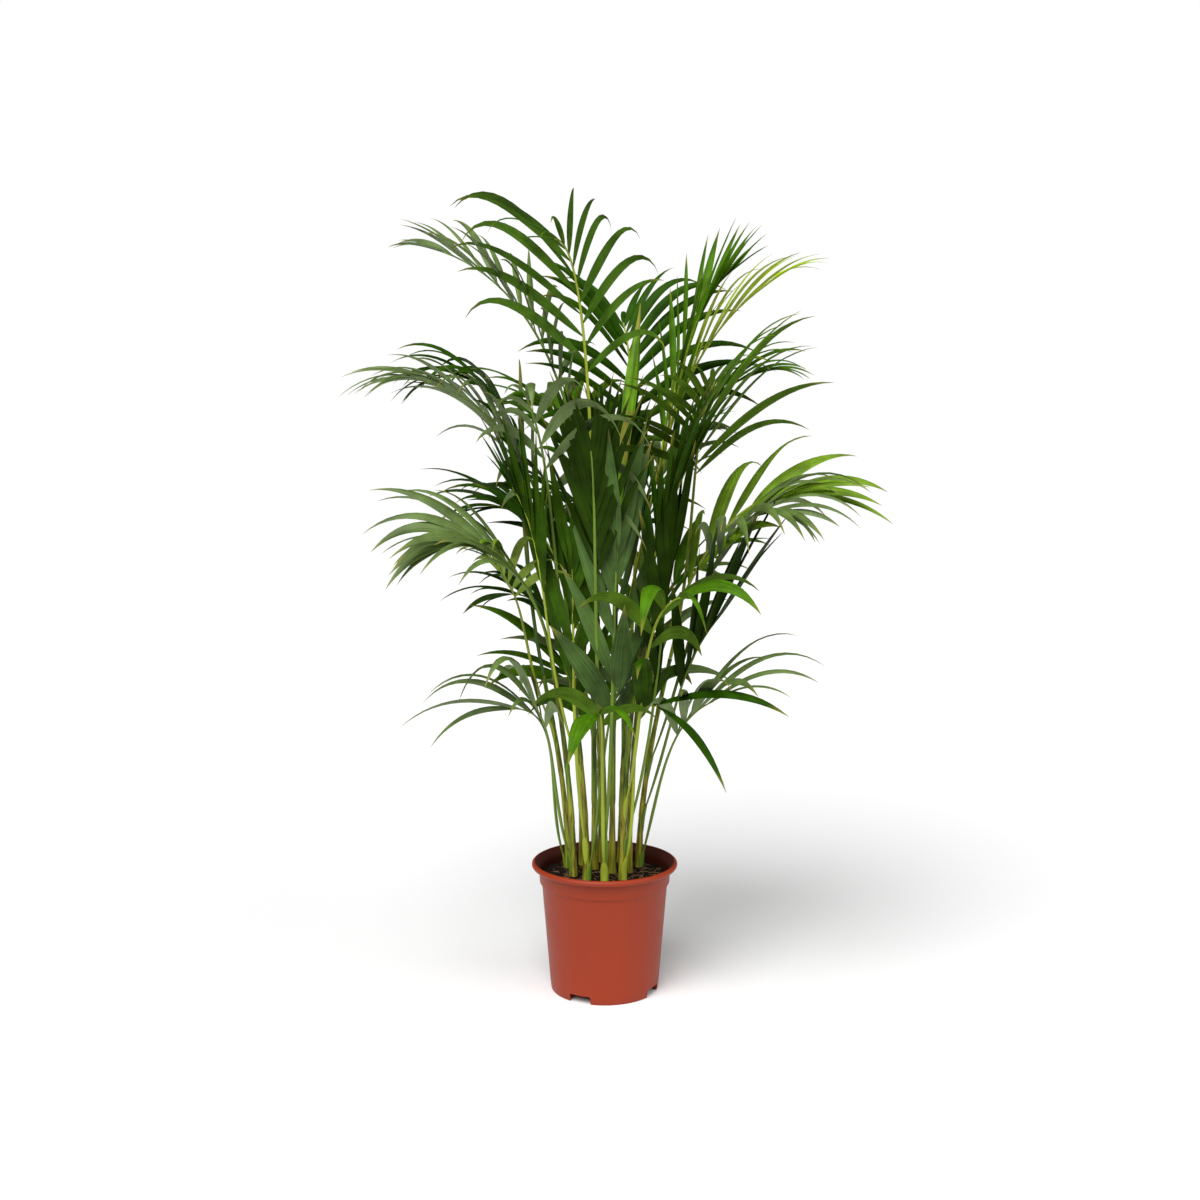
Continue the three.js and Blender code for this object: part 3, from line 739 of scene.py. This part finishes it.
def leaf_material(name, colour, roughness, gloss):
    """Living palm leaf: a waxy skin streaked along its fine parallel veins, which also break up
    its gloss, with soft patches of lighter and darker green, and a tip that dries to straw."""
    material, tree = start_material(name)
    place = node(tree, "UVMap", {"uv_map": VEINS})
    across = node(tree, "SeparateXYZ", {"Vector": place}, "X")
    along = node(tree, "SeparateXYZ", {"Vector": place}, "Y")
    veins = reckoned(tree, "SINE", reckoned(tree, "MULTIPLY", across, VEIN_TURN))
    both = reckoned(tree, "ADD", noise(tree, *LEAF_STREAKS, place), noise(tree, *LEAF_PATCHES))
    green = shaded(tree, colour, LEAF_SHADES, carried(tree, both, *LEAF_SPAN))
    step = reckoned(tree, "MODULO", along, STRIP)
    dry = carried(tree, step, PATH_STEPS - DRY_STEPS, PATH_STEPS, 0, DRY_SHARE)
    settings = {"Base Color": mixed(tree, dry, green, linear(STRAW)), "Roughness": roughness}
    normal = relief(tree, *VEIN_RELIEF, veins)
    return finished(material, {**settings, "Specular IOR Level": gloss, "Normal": normal})


def petiole_material(name, colour):
    """Smooth palm stalk with a soft gleam, faintly streaked along its length."""
    material, tree = start_material(name)
    shade = shaded(tree, colour, STALK_SHADES, noise(tree, *STALK_STREAKS))
    settings = {"Base Color": shade, "Roughness": PETIOLE_ROUGHNESS, "Specular IOR Level": CANE_GLOSS}
    return finished(material, settings)


def cane_material(foot_colour, top_colour, scurf_colour):
    """Green palm cane: olive yellow at the soil and where it ripens first, greener above, streaked
    along its length, its darkest and palest streaks partly painted shade and highlight, and
    freckled with brown scurf that is dull where the green skin shines."""
    material, tree = start_material("palm_cane")
    height = node(tree, "SeparateXYZ", {"Vector": object_place(tree)}, "Z")
    green = carried(tree, height, SOIL_TOP * MM, CANE_GREEN_HEIGHT * MM)
    shift = carried(tree, noise(tree, *CANE_RIPENING), *PATTERN_SPAN, *RIPENING)
    ripeness = carried(tree, reckoned(tree, "ADD", green, shift), 0, 1)
    skin = mixed(tree, ripeness, foot_colour, top_colour)
    streaks = noise(tree, *CANE_STREAKS)
    # Streaks from dark to pale: partly the cane's own streaking, partly painted shade and highlight
    skin = mixed(tree, 1.0, skin, carried(tree, streaks, *PATTERN_SPAN, *STREAK_SHADE_AND_HIGHLIGHT), "MULTIPLY")
    freckles = reckoned(tree, "ADD", noise(tree, *CANE_FRECKLES), noise(tree, *CANE_PATCHES))
    scurf = carried(tree, freckles, *SCURF_SPAN)
    rough = carried(tree, scurf, 0, 1, *CANE_ROUGHNESS)
    settings = {"Base Color": mixed(tree, scurf, skin, scurf_colour), "Roughness": rough}
    normal = relief(tree, *STREAK_RELIEF, streaks)
    return finished(material, {**settings, "Specular IOR Level": CANE_GLOSS, "Normal": normal})


def pot_material(name, colour):
    """Injection-moulded polypropylene, coloured through: satin, with a faint flow pattern round
    the wall, a fine moulded texture and dulled patches where it has been handled."""
    material, tree = start_material(name)
    shade = shaded(tree, colour, POT_SHADES, noise(tree, *POT_FLOW))
    rough = carried(tree, noise(tree, *POT_HANDLING), 0, 1, *POT_ROUGHNESS)
    normal = relief(tree, *GRAIN_RELIEF, noise(tree, *POT_GRAIN))
    settings = {"Base Color": shade, "Roughness": rough, "IOR": POT_IOR, "Normal": normal}
    return finished(material, {**settings, "Specular IOR Level": POT_GLOSS})


def peat_material(colour):
    """Moist peat, its colour following the same pattern as its relief: near black in its hollows,
    painted shade, and brown on its crumbs, with a damp gleam here and there."""
    material, tree = start_material("moist_peat")
    crumbs = noise(tree, *PEAT_CRUMBS)
    # Painted shade: the colour darkens with the relief's hollows
    shade = shaded(tree, colour, PEAT_SHADES, carried(tree, crumbs, *CRUMB_AND_HOLLOW_SHADE_SPAN))
    rough = carried(tree, crumbs, 0, 1, *PEAT_ROUGHNESS)
    settings = {"Base Color": shade, "Roughness": rough, "Normal": relief(tree, *CRUMB_RELIEF, crumbs)}
    return finished(material, {**settings, "Specular IOR Level": PEAT_GLOSS})


def debris_material(name, colour):
    """Bark crumbs and coir fibres: dry, matt and uneven in colour."""
    material, tree = start_material(name)
    shade = shaded(tree, colour, DEBRIS_SHADES, noise(tree, *DEBRIS_TINTS))
    return finished(material, {"Base Color": shade, "Roughness": DEBRIS_ROUGHNESS})


def colour_property(name, code, description):
    settings = dict(name=name, description=description, subtype="COLOR", size=4, min=0, max=1)
    return FloatVectorProperty(default=linear(code), **settings)


def length_property(name, millimetres, description):
    settings = dict(name=name, description=description, unit="LENGTH", subtype="DISTANCE", min=0)
    return FloatProperty(default=millimetres * MM, precision=4, **settings)


def angle_property(name, degrees, description):
    settings = dict(name=name, description=description, subtype="ANGLE", min=0, max=math.pi)
    return FloatProperty(default=math.radians(degrees), **settings)


class PotSettings(bpy.types.PropertyGroup):
    height: length_property("Height", POT_HEIGHT, "From the ground to the top of the rim")
    rim_radius: length_property("Rim radius", RIM_RADIUS, "Over the rolled rim")
    collar_radius: length_property("Collar radius", COLLAR_RADIUS, "Of the band below the rim")
    base_radius: length_property("Base radius", BASE_RADIUS, "Of the wall just above its foot ring")
    wall: length_property("Wall", WALL, "Thickness of the moulded wall")
    colour: colour_property("Plastic", "#8B2E10", "Colour of the moulded plastic")
    # The inside colour is painted shade: a darker colour for the inside of the wall, standing in for the
    # shadow inside the pot
    inside_shade_colour: colour_property("Inside", "#3E150A", "Colour of the wall inside, stained by the soil")


class SoilSettings(bpy.types.PropertyGroup):
    relief: length_property("Relief", 5, "Height of the lumps of the soil's surface")
    crumbs: IntProperty(name="Bark crumbs", description="How many lie on the soil", default=340, min=0)
    fibres: IntProperty(name="Fibres", description="How many coir fibres lie on the soil", default=90, min=0)
    colour: colour_property("Peat", "#150D07", "Colour of the moist peat")
    bark_colour: colour_property("Bark", "#38220F", "Colour of the bark crumbs")
    fibre_colour: colour_property("Coir", "#7A5C38", "Colour of the coir fibres")


class CaneSettings(bpy.types.PropertyGroup):
    foot_radius: length_property("Foot radius", CANE_FOOT_RADIUS, "Above the flare at the soil")
    top_radius: length_property("Top radius", CANE_TOP_RADIUS, "Where the top petiole carries on")
    sheaths: IntProperty(name="Sheaths", description="Leaf sheaths wrapped round a cane", default=4, min=1)
    foot_colour: colour_property("Foot", "#8C8626", "Colour at the soil")
    top_colour: colour_property("Top", "#5B771B", "Colour at the top")
    scurf_colour: colour_property("Scurf", "#4C381A", "Colour of the brown freckles")


class FrondSettings(bpy.types.PropertyGroup):
    fullness: FloatProperty(name="Fullness", description="Width of all leaflets", default=1, min=0.2, max=2)
    thickness: length_property("Thickness", 0.7, "Of a leaflet, a little over life")
    twist: angle_property("Twist", 40, "The most that a leaflet turns along its length")
    roughness: FloatProperty(name="Roughness", description="Of the upper faces", default=0.4, min=0.05, max=1)


class StageSettings(bpy.types.PropertyGroup):
    key_power: FloatProperty(name="Key light", description="Power of the front light", default=4.1, min=0)
    fill_power: FloatProperty(name="Fill light", description="Power of the right light", default=1.2, min=0)
    softness: angle_property("Softness", 50, "How wide the lights look from the plant")
    sky: FloatProperty(name="Surround", description="Brightness of the white surround", default=0.12, min=0)
    floor_colour: colour_property("Floor", "#EAEAEA", "Colour of the plain floor")


def turned_shell(name, profile, sides):
    """A closed shell: a disc extruded ring by ring through a profile of radius and height."""
    (radius, height), *rest = profile
    bpy.ops.object.select_all(action="DESELECT")
    settings = dict(vertices=sides, radius=radius * MM, fill_type="NGON", location=(0, 0, height * MM))
    bpy.ops.mesh.primitive_circle_add(**settings)
    piece = bpy.context.object
    piece.name = piece.data.name = name
    place_in_mesh(piece)
    bpy.ops.object.mode_set(mode="EDIT")
    bpy.ops.mesh.select_all(action="SELECT")
    for r, z in rest:
        bpy.ops.mesh.extrude_region_move(TRANSFORM_OT_translate={"value": (0, 0, (z - height) * MM)})
        bpy.ops.transform.resize(value=(r / radius, r / radius, 1))
        radius, height = r, z
    bpy.ops.mesh.select_all(action="SELECT")
    bpy.ops.mesh.normals_make_consistent(inside=False)
    bpy.ops.object.mode_set(mode="OBJECT")
    return piece


def arc(centre, radius, first, last, steps):
    """Points of an arc in the profile's plane, between two angles in degrees."""
    angles = [math.radians(lerp(first, last, t)) for t in shares(steps)]
    return [(centre[0] + radius * math.cos(a), centre[1] + radius * math.sin(a)) for a in angles]


class PALM_OT_pot(bpy.types.Operator):
    """Turn the stepped nursery pot and cut its drainage notches"""

    bl_idname = "palm.pot"
    bl_label = "Pot"

    def execute(self, context):
        settings = context.scene.palm_pot
        height, rim = settings.height / MM, settings.rim_radius / MM
        collar, base, wall = settings.collar_radius / MM, settings.base_radius / MM, settings.wall / MM
        ring_inside = base - wall - FOOT_INSET
        lip = RIM_HEIGHT / 2
        funnel = [
            (lerp(collar - wall, rim - lip, (1 - t) ** FUNNEL_POWER), height - t * FUNNEL_DEPTH)
            for t in shares(FUNNEL_STEPS)[1:]
        ]
        profile = [
            (PAD_RADIUS, 0),
            (PAD_RADIUS + PAD_SLOPE, FOOT_HEIGHT),
            (ring_inside, FOOT_HEIGHT),
            (ring_inside, 0),
            (base - FOOT_INSET, 0),
            (base, FOOT_HEIGHT),
            (collar - STEP, STEP_TOP),
            (collar, STEP_TOP + STEP),
            (collar + SOFTEN, height - RIM_HEIGHT),
            *arc((rim - lip, height - lip), lip, -90, 90, LIP_STEPS),
            *funnel,
            (collar - wall, STEP_TOP + STEP),
            (collar - STEP - wall, STEP_TOP - SOFTEN),
            (base - wall, FOOT_HEIGHT + wall),
            (PAD_RADIUS, FOOT_HEIGHT + wall),
            (PAD_RADIUS - PAD_SLOPE, wall),
        ]
        pot = turned_shell("pot_shell", profile, POT_SIDES)
        for i in range(NOTCH_COUNT):
            self.cut_notch(pot, math.radians(NOTCH_FIRST + i * 360 / NOTCH_COUNT), base)
        edges = dict(width=EDGE_RADIUS * MM, segments=EDGE_STEPS, angle_limit=math.radians(EDGE_ANGLE))
        apply_modifier(pot, "BEVEL", limit_method="ANGLE", **edges)
        outside = pot_material("terracotta_polypropylene", settings.colour)
        # The second material is painted shade, darker for the inside of the wall
        painted_shade = pot_material("shaded_inside_polypropylene", settings.inside_shade_colour)
        finish_piece(pot, "pot", ["pot"], EDGE_ANGLE, outside, painted_shade)
        # The inside of the wall above its step takes the darker second material: painted shade for the shadow
        # inside the pot
        for polygon in pot.data.polygons:
            outward = polygon.normal.xy.dot(polygon.center.xy)
            if outward < 0 and polygon.center.z > STEP_TOP * MM:
                polygon.material_index = 1
        return {"FINISHED"}

    def cut_notch(self, pot, turn, base):
        """Cuts one drainage notch, rounded at its upper corners, through the foot ring."""
        bpy.ops.object.select_all(action="DESELECT")
        out = base * MM
        bpy.ops.mesh.primitive_cube_add(size=1, location=(out, 0, 0))
        cutter = bpy.context.object
        cutter.scale = (out, NOTCH_WIDTH * MM, 2 * (FOOT_HEIGHT - SOFTEN) * MM)
        place_in_mesh(cutter)
        apply_modifier(cutter, "BEVEL", width=NOTCH_ROUNDING * MM, segments=NOTCH_STEPS)
        cutter.rotation_euler.z = turn
        place_in_mesh(cutter)
        apply_modifier(pot, "BOOLEAN", operation="DIFFERENCE", object=cutter)
        bpy.data.objects.remove(cutter)


class PALM_OT_soil(bpy.types.Operator):
    """Fill the pot with lumpy peat strewn with bark crumbs and coir fibres"""

    bl_idname = "palm.soil"
    bl_label = "Soil"

    def execute(self, context):
        settings = context.scene.palm_soil
        inside = COLLAR_RADIUS - WALL - CLEAR
        floor = FOOT_HEIGHT + WALL + CLEAR
        low = BASE_RADIUS - WALL - 2 * CLEAR
        step_in = COLLAR_RADIUS - STEP - WALL - 4 * CLEAR
        surface = [(lerp(inside, SOIL_EYE, t), SOIL_TOP) for t in shares(SOIL_RINGS)]
        below = [(low, floor), (step_in, STEP_TOP - 3 * SOFTEN), (inside, STEP_TOP + STEP + SOFTEN)]
        soil = turned_shell("soil_peat", [*below, *surface], SOIL_SIDES)
        group = soil.vertex_groups.new(name="surface")
        high = [v.index for v in soil.data.vertices if v.co.z > (SOIL_TOP - SOFTEN) * MM]
        group.add(high, 1.0, "REPLACE")
        for name, size, share in SOIL_LUMPS:
            texture = bpy.data.textures.new("peat_" + name, "CLOUDS")
            texture.noise_scale = size
            texture.noise_depth = SOIL_DETAIL
            push = dict(texture=texture, texture_coords="LOCAL", direction="Z", vertex_group="surface")
            apply_modifier(soil, "DISPLACE", strength=settings.relief * share, mid_level=SOIL_LEVEL, **push)
        finish_piece(soil, "soil", ["soil"], SOIL_SMOOTH_ANGLE, peat_material(settings.colour))
        draw = np.random.default_rng(SEED)
        bark = debris_material("composted_bark", settings.bark_colour)
        self.crumbs(draw, settings.crumbs, inside).make("soil_bark", "soil", bark)
        coir = debris_material("coir_fibre", settings.fibre_colour)
        self.fibres(draw, settings.fibres, inside).make("soil_fibres", "soil", coir)
        return {"FINISHED"}

    def spot(self, draw, inside, margin):
        """A random place on the soil, even over its area."""
        reach = (inside - margin) * math.sqrt(draw.uniform())
        return heading(draw.uniform(0, 360)) * reach + UP * (SOIL_TOP + draw.uniform(*DEBRIS_HEIGHT))

    def crumbs(self, draw, count, inside):
        """Flat chips of bark, each a squashed and slightly crooked lozenge."""
        meshes = Meshes("soil")
        for _ in range(count):
            at = self.spot(draw, inside, BARK_MARGIN)
            long, wide, thick = draw.uniform(*BARK_LONG), draw.uniform(*BARK_WIDE), draw.uniform(*BARK_THICK)
            way = unit(heading(draw.uniform(0, 360)) + UP * draw.uniform(-CHIP_TILT, CHIP_TILT))
            flat = unit(np.cross(way, UP))
            over = np.cross(flat, way)
            rings = []
            for share, size in CHIP_SECTIONS:
                middle = at + way * share * long
                jitter = draw.uniform(1 - CHIP_SPREAD, 1 + CHIP_SPREAD, len(CHIP_CORNERS))
                ring = [(flat * x * wide + over * z * thick) * k for (x, z), k in zip(CHIP_CORNERS, jitter)]
                rings.append([middle + corner * size for corner in ring])
            meshes.add(rings)
        return meshes

    def fibres(self, draw, count, inside):
        """Short bent fibres lying on the peat."""
        meshes = Meshes("soil")
        for _ in range(count):
            at = self.spot(draw, inside, FIBRE_MARGIN) + UP * FIBRE_HUMP
            way = heading(draw.uniform(0, 360))
            bend = draw.uniform(-FIBRE_BEND, FIBRE_BEND)
            length, radius = draw.uniform(*FIBRE_LENGTH), draw.uniform(*FIBRE_RADIUS)
            rings = []
            for t in shares(FIBRE_STEPS):
                turn = turned(way, UP, bend * t)
                side = np.cross(turn, UP)
                middle = at + UP * math.sin(math.pi * t) * FIBRE_HUMP
                rings.append([middle + side * radius, middle + UP * radius, middle - side * radius])
                at = at + turn * length / FIBRE_STEPS
            meshes.add(rings)
        return meshes


class PALM_OT_canes(bpy.types.Operator):
    """Model one straight cane with its sheaths and bend a copy of it along each cane's axis"""

    bl_idname = "palm.canes"
    bl_label = "Canes"

    def execute(self, context):
        settings = context.scene.palm_canes
        pattern = self.straight_cane(settings)
        material = cane_material(settings.foot_colour, settings.top_colour, settings.scurf_colour)
        for name in CANES:
            self.bent_cane(pattern, name, material)
        bpy.data.objects.remove(pattern)
        return {"FINISHED"}

    def straight_cane(self, settings):
        """A cane one unit long, in steps that narrow where each leaf sheath ends."""
        foot, top = settings.foot_radius / MM, settings.top_radius / MM
        profile = []
        for t in shares(CANE_STEPS):
            flare = 1 + (CANE_FLARE - 1) * max(0, 1 - t / FLARE_SHARE) ** 2
            along_sheath = (t * settings.sheaths) % 1
            sleeve = SHEATH_RADIUS - SHEATH_TAPER * along_sheath
            lip = SHEATH_LIP if along_sheath > SHEATH_LIP_FROM else 0
            profile.append((lerp(foot, top, t) * flare * (sleeve + lip), t / MM))
        return turned_shell("cane_pattern", profile, CANE_SIDES)

    def bent_cane(self, pattern, name, material):
        axis = cane_curve(name)
        guide = bezier_guide(axis)
        length = guide.data.splines[0].calc_length()
        cane = new_object("stem_" + name, pattern.data.copy())
        cane.data.name = cane.name
        cane.scale.z = length
        place_in_mesh(cane)
        apply_modifier(cane, "CURVE", object=guide, deform_axis="POS_Z")
        bpy.data.objects.remove(guide)
        finish_piece(cane, "cane", ["cane_" + name], CANE_SMOOTH_ANGLE, material)


def bezier_guide(axis):
    """A curve object along a cubic curve, to bend a straight piece by."""
    data = bpy.data.curves.new("guide", "CURVE")
    data.dimensions = "3D"
    data.resolution_u = GUIDE_STEPS
    spline = data.splines.new("BEZIER")
    spline.bezier_points.add(1)
    a, b, c, d = [Vector(p * MM) for p in axis.points]
    first, last = spline.bezier_points
    first.co, first.handle_right, first.handle_left = a, b, a * 2 - b
    last.co, last.handle_left, last.handle_right = d, c, d * 2 - c
    return new_object("guide", data)


class PALM_OT_fronds(bpy.types.Operator):
    """Grow every frond: its petiole and rachis, and its leaflets, joined by tone"""

    bl_idname = "palm.fronds"
    bl_label = "Fronds"

    def execute(self, context):
        settings = context.scene.palm_fronds
        leaflets = {tone: Meshes() for tone in TONES}
        stalks = {stalk: Meshes() for stalk in STALKS}
        for index, row in enumerate(FRONDS):
            name, cane, foot, azimuth, reach, top, pitch, pairs, leaf, width, tone, differs = row
            habit = dict(USUAL, **differs)
            rib = Rib(cane, foot, azimuth, reach, top, pitch, habit)
            self.grow_leaflets(leaflets[tone], rib, habit, index, pairs, leaf, width, settings)
            stalk = stalks["green" if tone in GREEN_STALKED else "pale"]
            add_stalk(stalk, rib)
            if not rib.at_top:
                add_clasp(stalk, rib)
            for meshes in (leaflets[tone], stalk):
                meshes.nodes.append("frond_" + name)
        for tone, (upper, under, gloss) in TONES.items():
            skin = leaf_material("palm_leaf_" + tone, linear(upper), settings.roughness, gloss)
            name = "palm_leaf_underside_" + tone
            underside = leaf_material(name, linear(under), UNDERSIDE_ROUGHNESS, gloss)
            slot = "young_leaf" if tone == "young" else "leaf"
            leaflets[tone].make("leaflets_" + tone, slot, skin, underside)
        for stalk, colour in STALKS.items():
            skin = petiole_material("palm_stalk_" + stalk, linear(colour))
            stalks[stalk].make("petioles_" + stalk, "leaf", skin)
        return {"FINISHED"}

    def grow_leaflets(self, meshes, rib, habit, index, pairs, leaf, width, settings):
        for i in range(pairs):
            for side in (1, -1):
                u = (i + (0 if side > 0 else STAGGER)) / (pairs - 1 + STAGGER)
                leaf_index = 2 * i + (0 if side > 0 else 1)
                path = leaflet_path(rib, habit, leaf, index, leaf_index, u, side)
                size = settings.fullness * width * math.sqrt(path[3] / leaf)
                twist = math.degrees(settings.twist) * chance(index, leaf_index, 6)
                add_leaflet(meshes, path, size, settings.thickness / MM, twist)


class PALM_OT_spears(bpy.types.Operator):
    """Grow the folded spear leaves that haven't opened yet"""

    bl_idname = "palm.spears"
    bl_label = "Spears"

    def execute(self, context):
        for name, cane, azimuth, reach, top, swell, colour in SPEARS:
            rib = Rib(cane, 0, azimuth, reach, top, SPEAR_PITCH, USUAL)
            rib.sideways = EAST
            meshes = Meshes(name)
            meshes.add(self.rings(rib, swell))
            skin = leaf_material("palm_leaf_" + name, linear(colour), SPEAR_ROUGHNESS, SPEAR_GLOSS)
            meshes.make("folded_" + name, "young_leaf", skin)
        return {"FINISHED"}

    def rings(self, rib, swell):
        """Flat sections, pleated where the leaflets lie folded against each other."""
        rings = []
        for t in shares(SPEAR_STEPS):
            at, _along, side, upper = rib.frame(t)
            widest = math.sin(math.pi * t) ** 2
            radius = PETIOLE_RADIUS * lerp(SPEAR_FOOT + swell * t * widest, SPEAR_TIP, t**SPEAR_POINT)
            ring = []
            for k, (x, y) in enumerate(circle(SPEAR_SIDES)):
                pleat = 1 - (SPEAR_PLEAT if k % 2 else 0) * widest
                ring.append(at + (side * x + upper * y * SPEAR_FLAT) * radius * pleat)
            rings.append(ring)
        return rings


class PALM_OT_stage(bpy.types.Operator):
    """Set up the plain floor, the soft studio light and the camera"""

    bl_idname = "palm.stage"
    bl_label = "Stage"

    def execute(self, context):
        settings = context.scene.palm_stage
        bpy.ops.object.select_all(action="DESELECT")
        bpy.ops.mesh.primitive_plane_add(size=FLOOR_SIZE, location=(0, 0, FLOOR_PLACE))
        floor = bpy.context.object
        floor.name = "floor"
        material, _tree = start_material("white_floor")
        looks = {"Base Color": settings.floor_colour, "Roughness": FLOOR_ROUGHNESS}
        floor.data.materials.append(finished(material, looks))
        for name, azimuth, height, power in (
            ("key light", KEY_AZIMUTH, KEY_HEIGHT, settings.key_power),
            ("fill light", FILL_AZIMUTH, FILL_HEIGHT, settings.fill_power),
        ):
            lamp = bpy.data.lights.new(name, "SUN")
            lamp.energy = power
            lamp.angle = settings.softness
            holder = new_object(name, lamp)
            towards = tilted(heading(azimuth), UP, height)
            holder.rotation_euler = Vector(towards).to_track_quat("Z", "Y").to_euler()
        world = bpy.data.worlds.new("white surround")
        context.scene.world = world
        world.use_nodes = True
        tree = world.node_tree
        tree.nodes.clear()
        light = node(tree, "Background", {"Color": WHITE, "Strength": settings.sky})
        shown = node(tree, "Background", {"Color": WHITE, "Strength": 1.0})
        seen = node(tree, "LightPath", output="Is Camera Ray")
        both = node(tree, "MixShader", {"Fac": seen, 1: light, 2: shown})
        node(tree, "OutputWorld", {"Surface": both})
        camera = new_object("camera", bpy.data.cameras.new("camera"))
        camera.location = CAMERA_PLACE
        camera.rotation_euler = (math.radians(90 - CAMERA_DOWN), 0, 0)
        camera.data.lens = CAMERA_LENS
        context.scene.camera = camera
        context.scene.view_settings.view_transform = "Standard"
        return {"FINISHED"}


class PALM_PT_sidebar(bpy.types.Panel):
    """A button for each step, with its settings"""

    bl_label = "Potted palm"
    bl_idname = "PALM_PT_sidebar"
    bl_space_type = "VIEW_3D"
    bl_region_type = "UI"
    bl_category = "Palm"

    def draw(self, context):
        for operator, name, group in STEPS:
            box = self.layout.box()
            box.operator(operator.bl_idname)
            if group:
                for key in group.__annotations__:
                    box.prop(getattr(context.scene, name), key)


STEPS = (
    (PALM_OT_stage, "palm_stage", StageSettings),
    (PALM_OT_pot, "palm_pot", PotSettings),
    (PALM_OT_soil, "palm_soil", SoilSettings),
    (PALM_OT_canes, "palm_canes", CaneSettings),
    (PALM_OT_fronds, "palm_fronds", FrondSettings),
    (PALM_OT_spears, None, None),
)


def register():
    for operator, name, group in STEPS:
        if group:
            bpy.utils.register_class(group)
            setattr(bpy.types.Scene, name, PointerProperty(type=group))
        bpy.utils.register_class(operator)
    bpy.utils.register_class(PALM_PT_sidebar)


def unregister():
    bpy.utils.unregister_class(PALM_PT_sidebar)
    for operator, name, group in STEPS:
        bpy.utils.unregister_class(operator)
        if group:
            delattr(bpy.types.Scene, name)
            bpy.utils.unregister_class(group)


def main():
    register()
    bpy.ops.palm.stage()
    bpy.ops.palm.pot()
    bpy.ops.palm.soil()
    bpy.ops.palm.canes()
    bpy.ops.palm.fronds()
    bpy.ops.palm.spears()


if __name__ == "__main__":
    main()
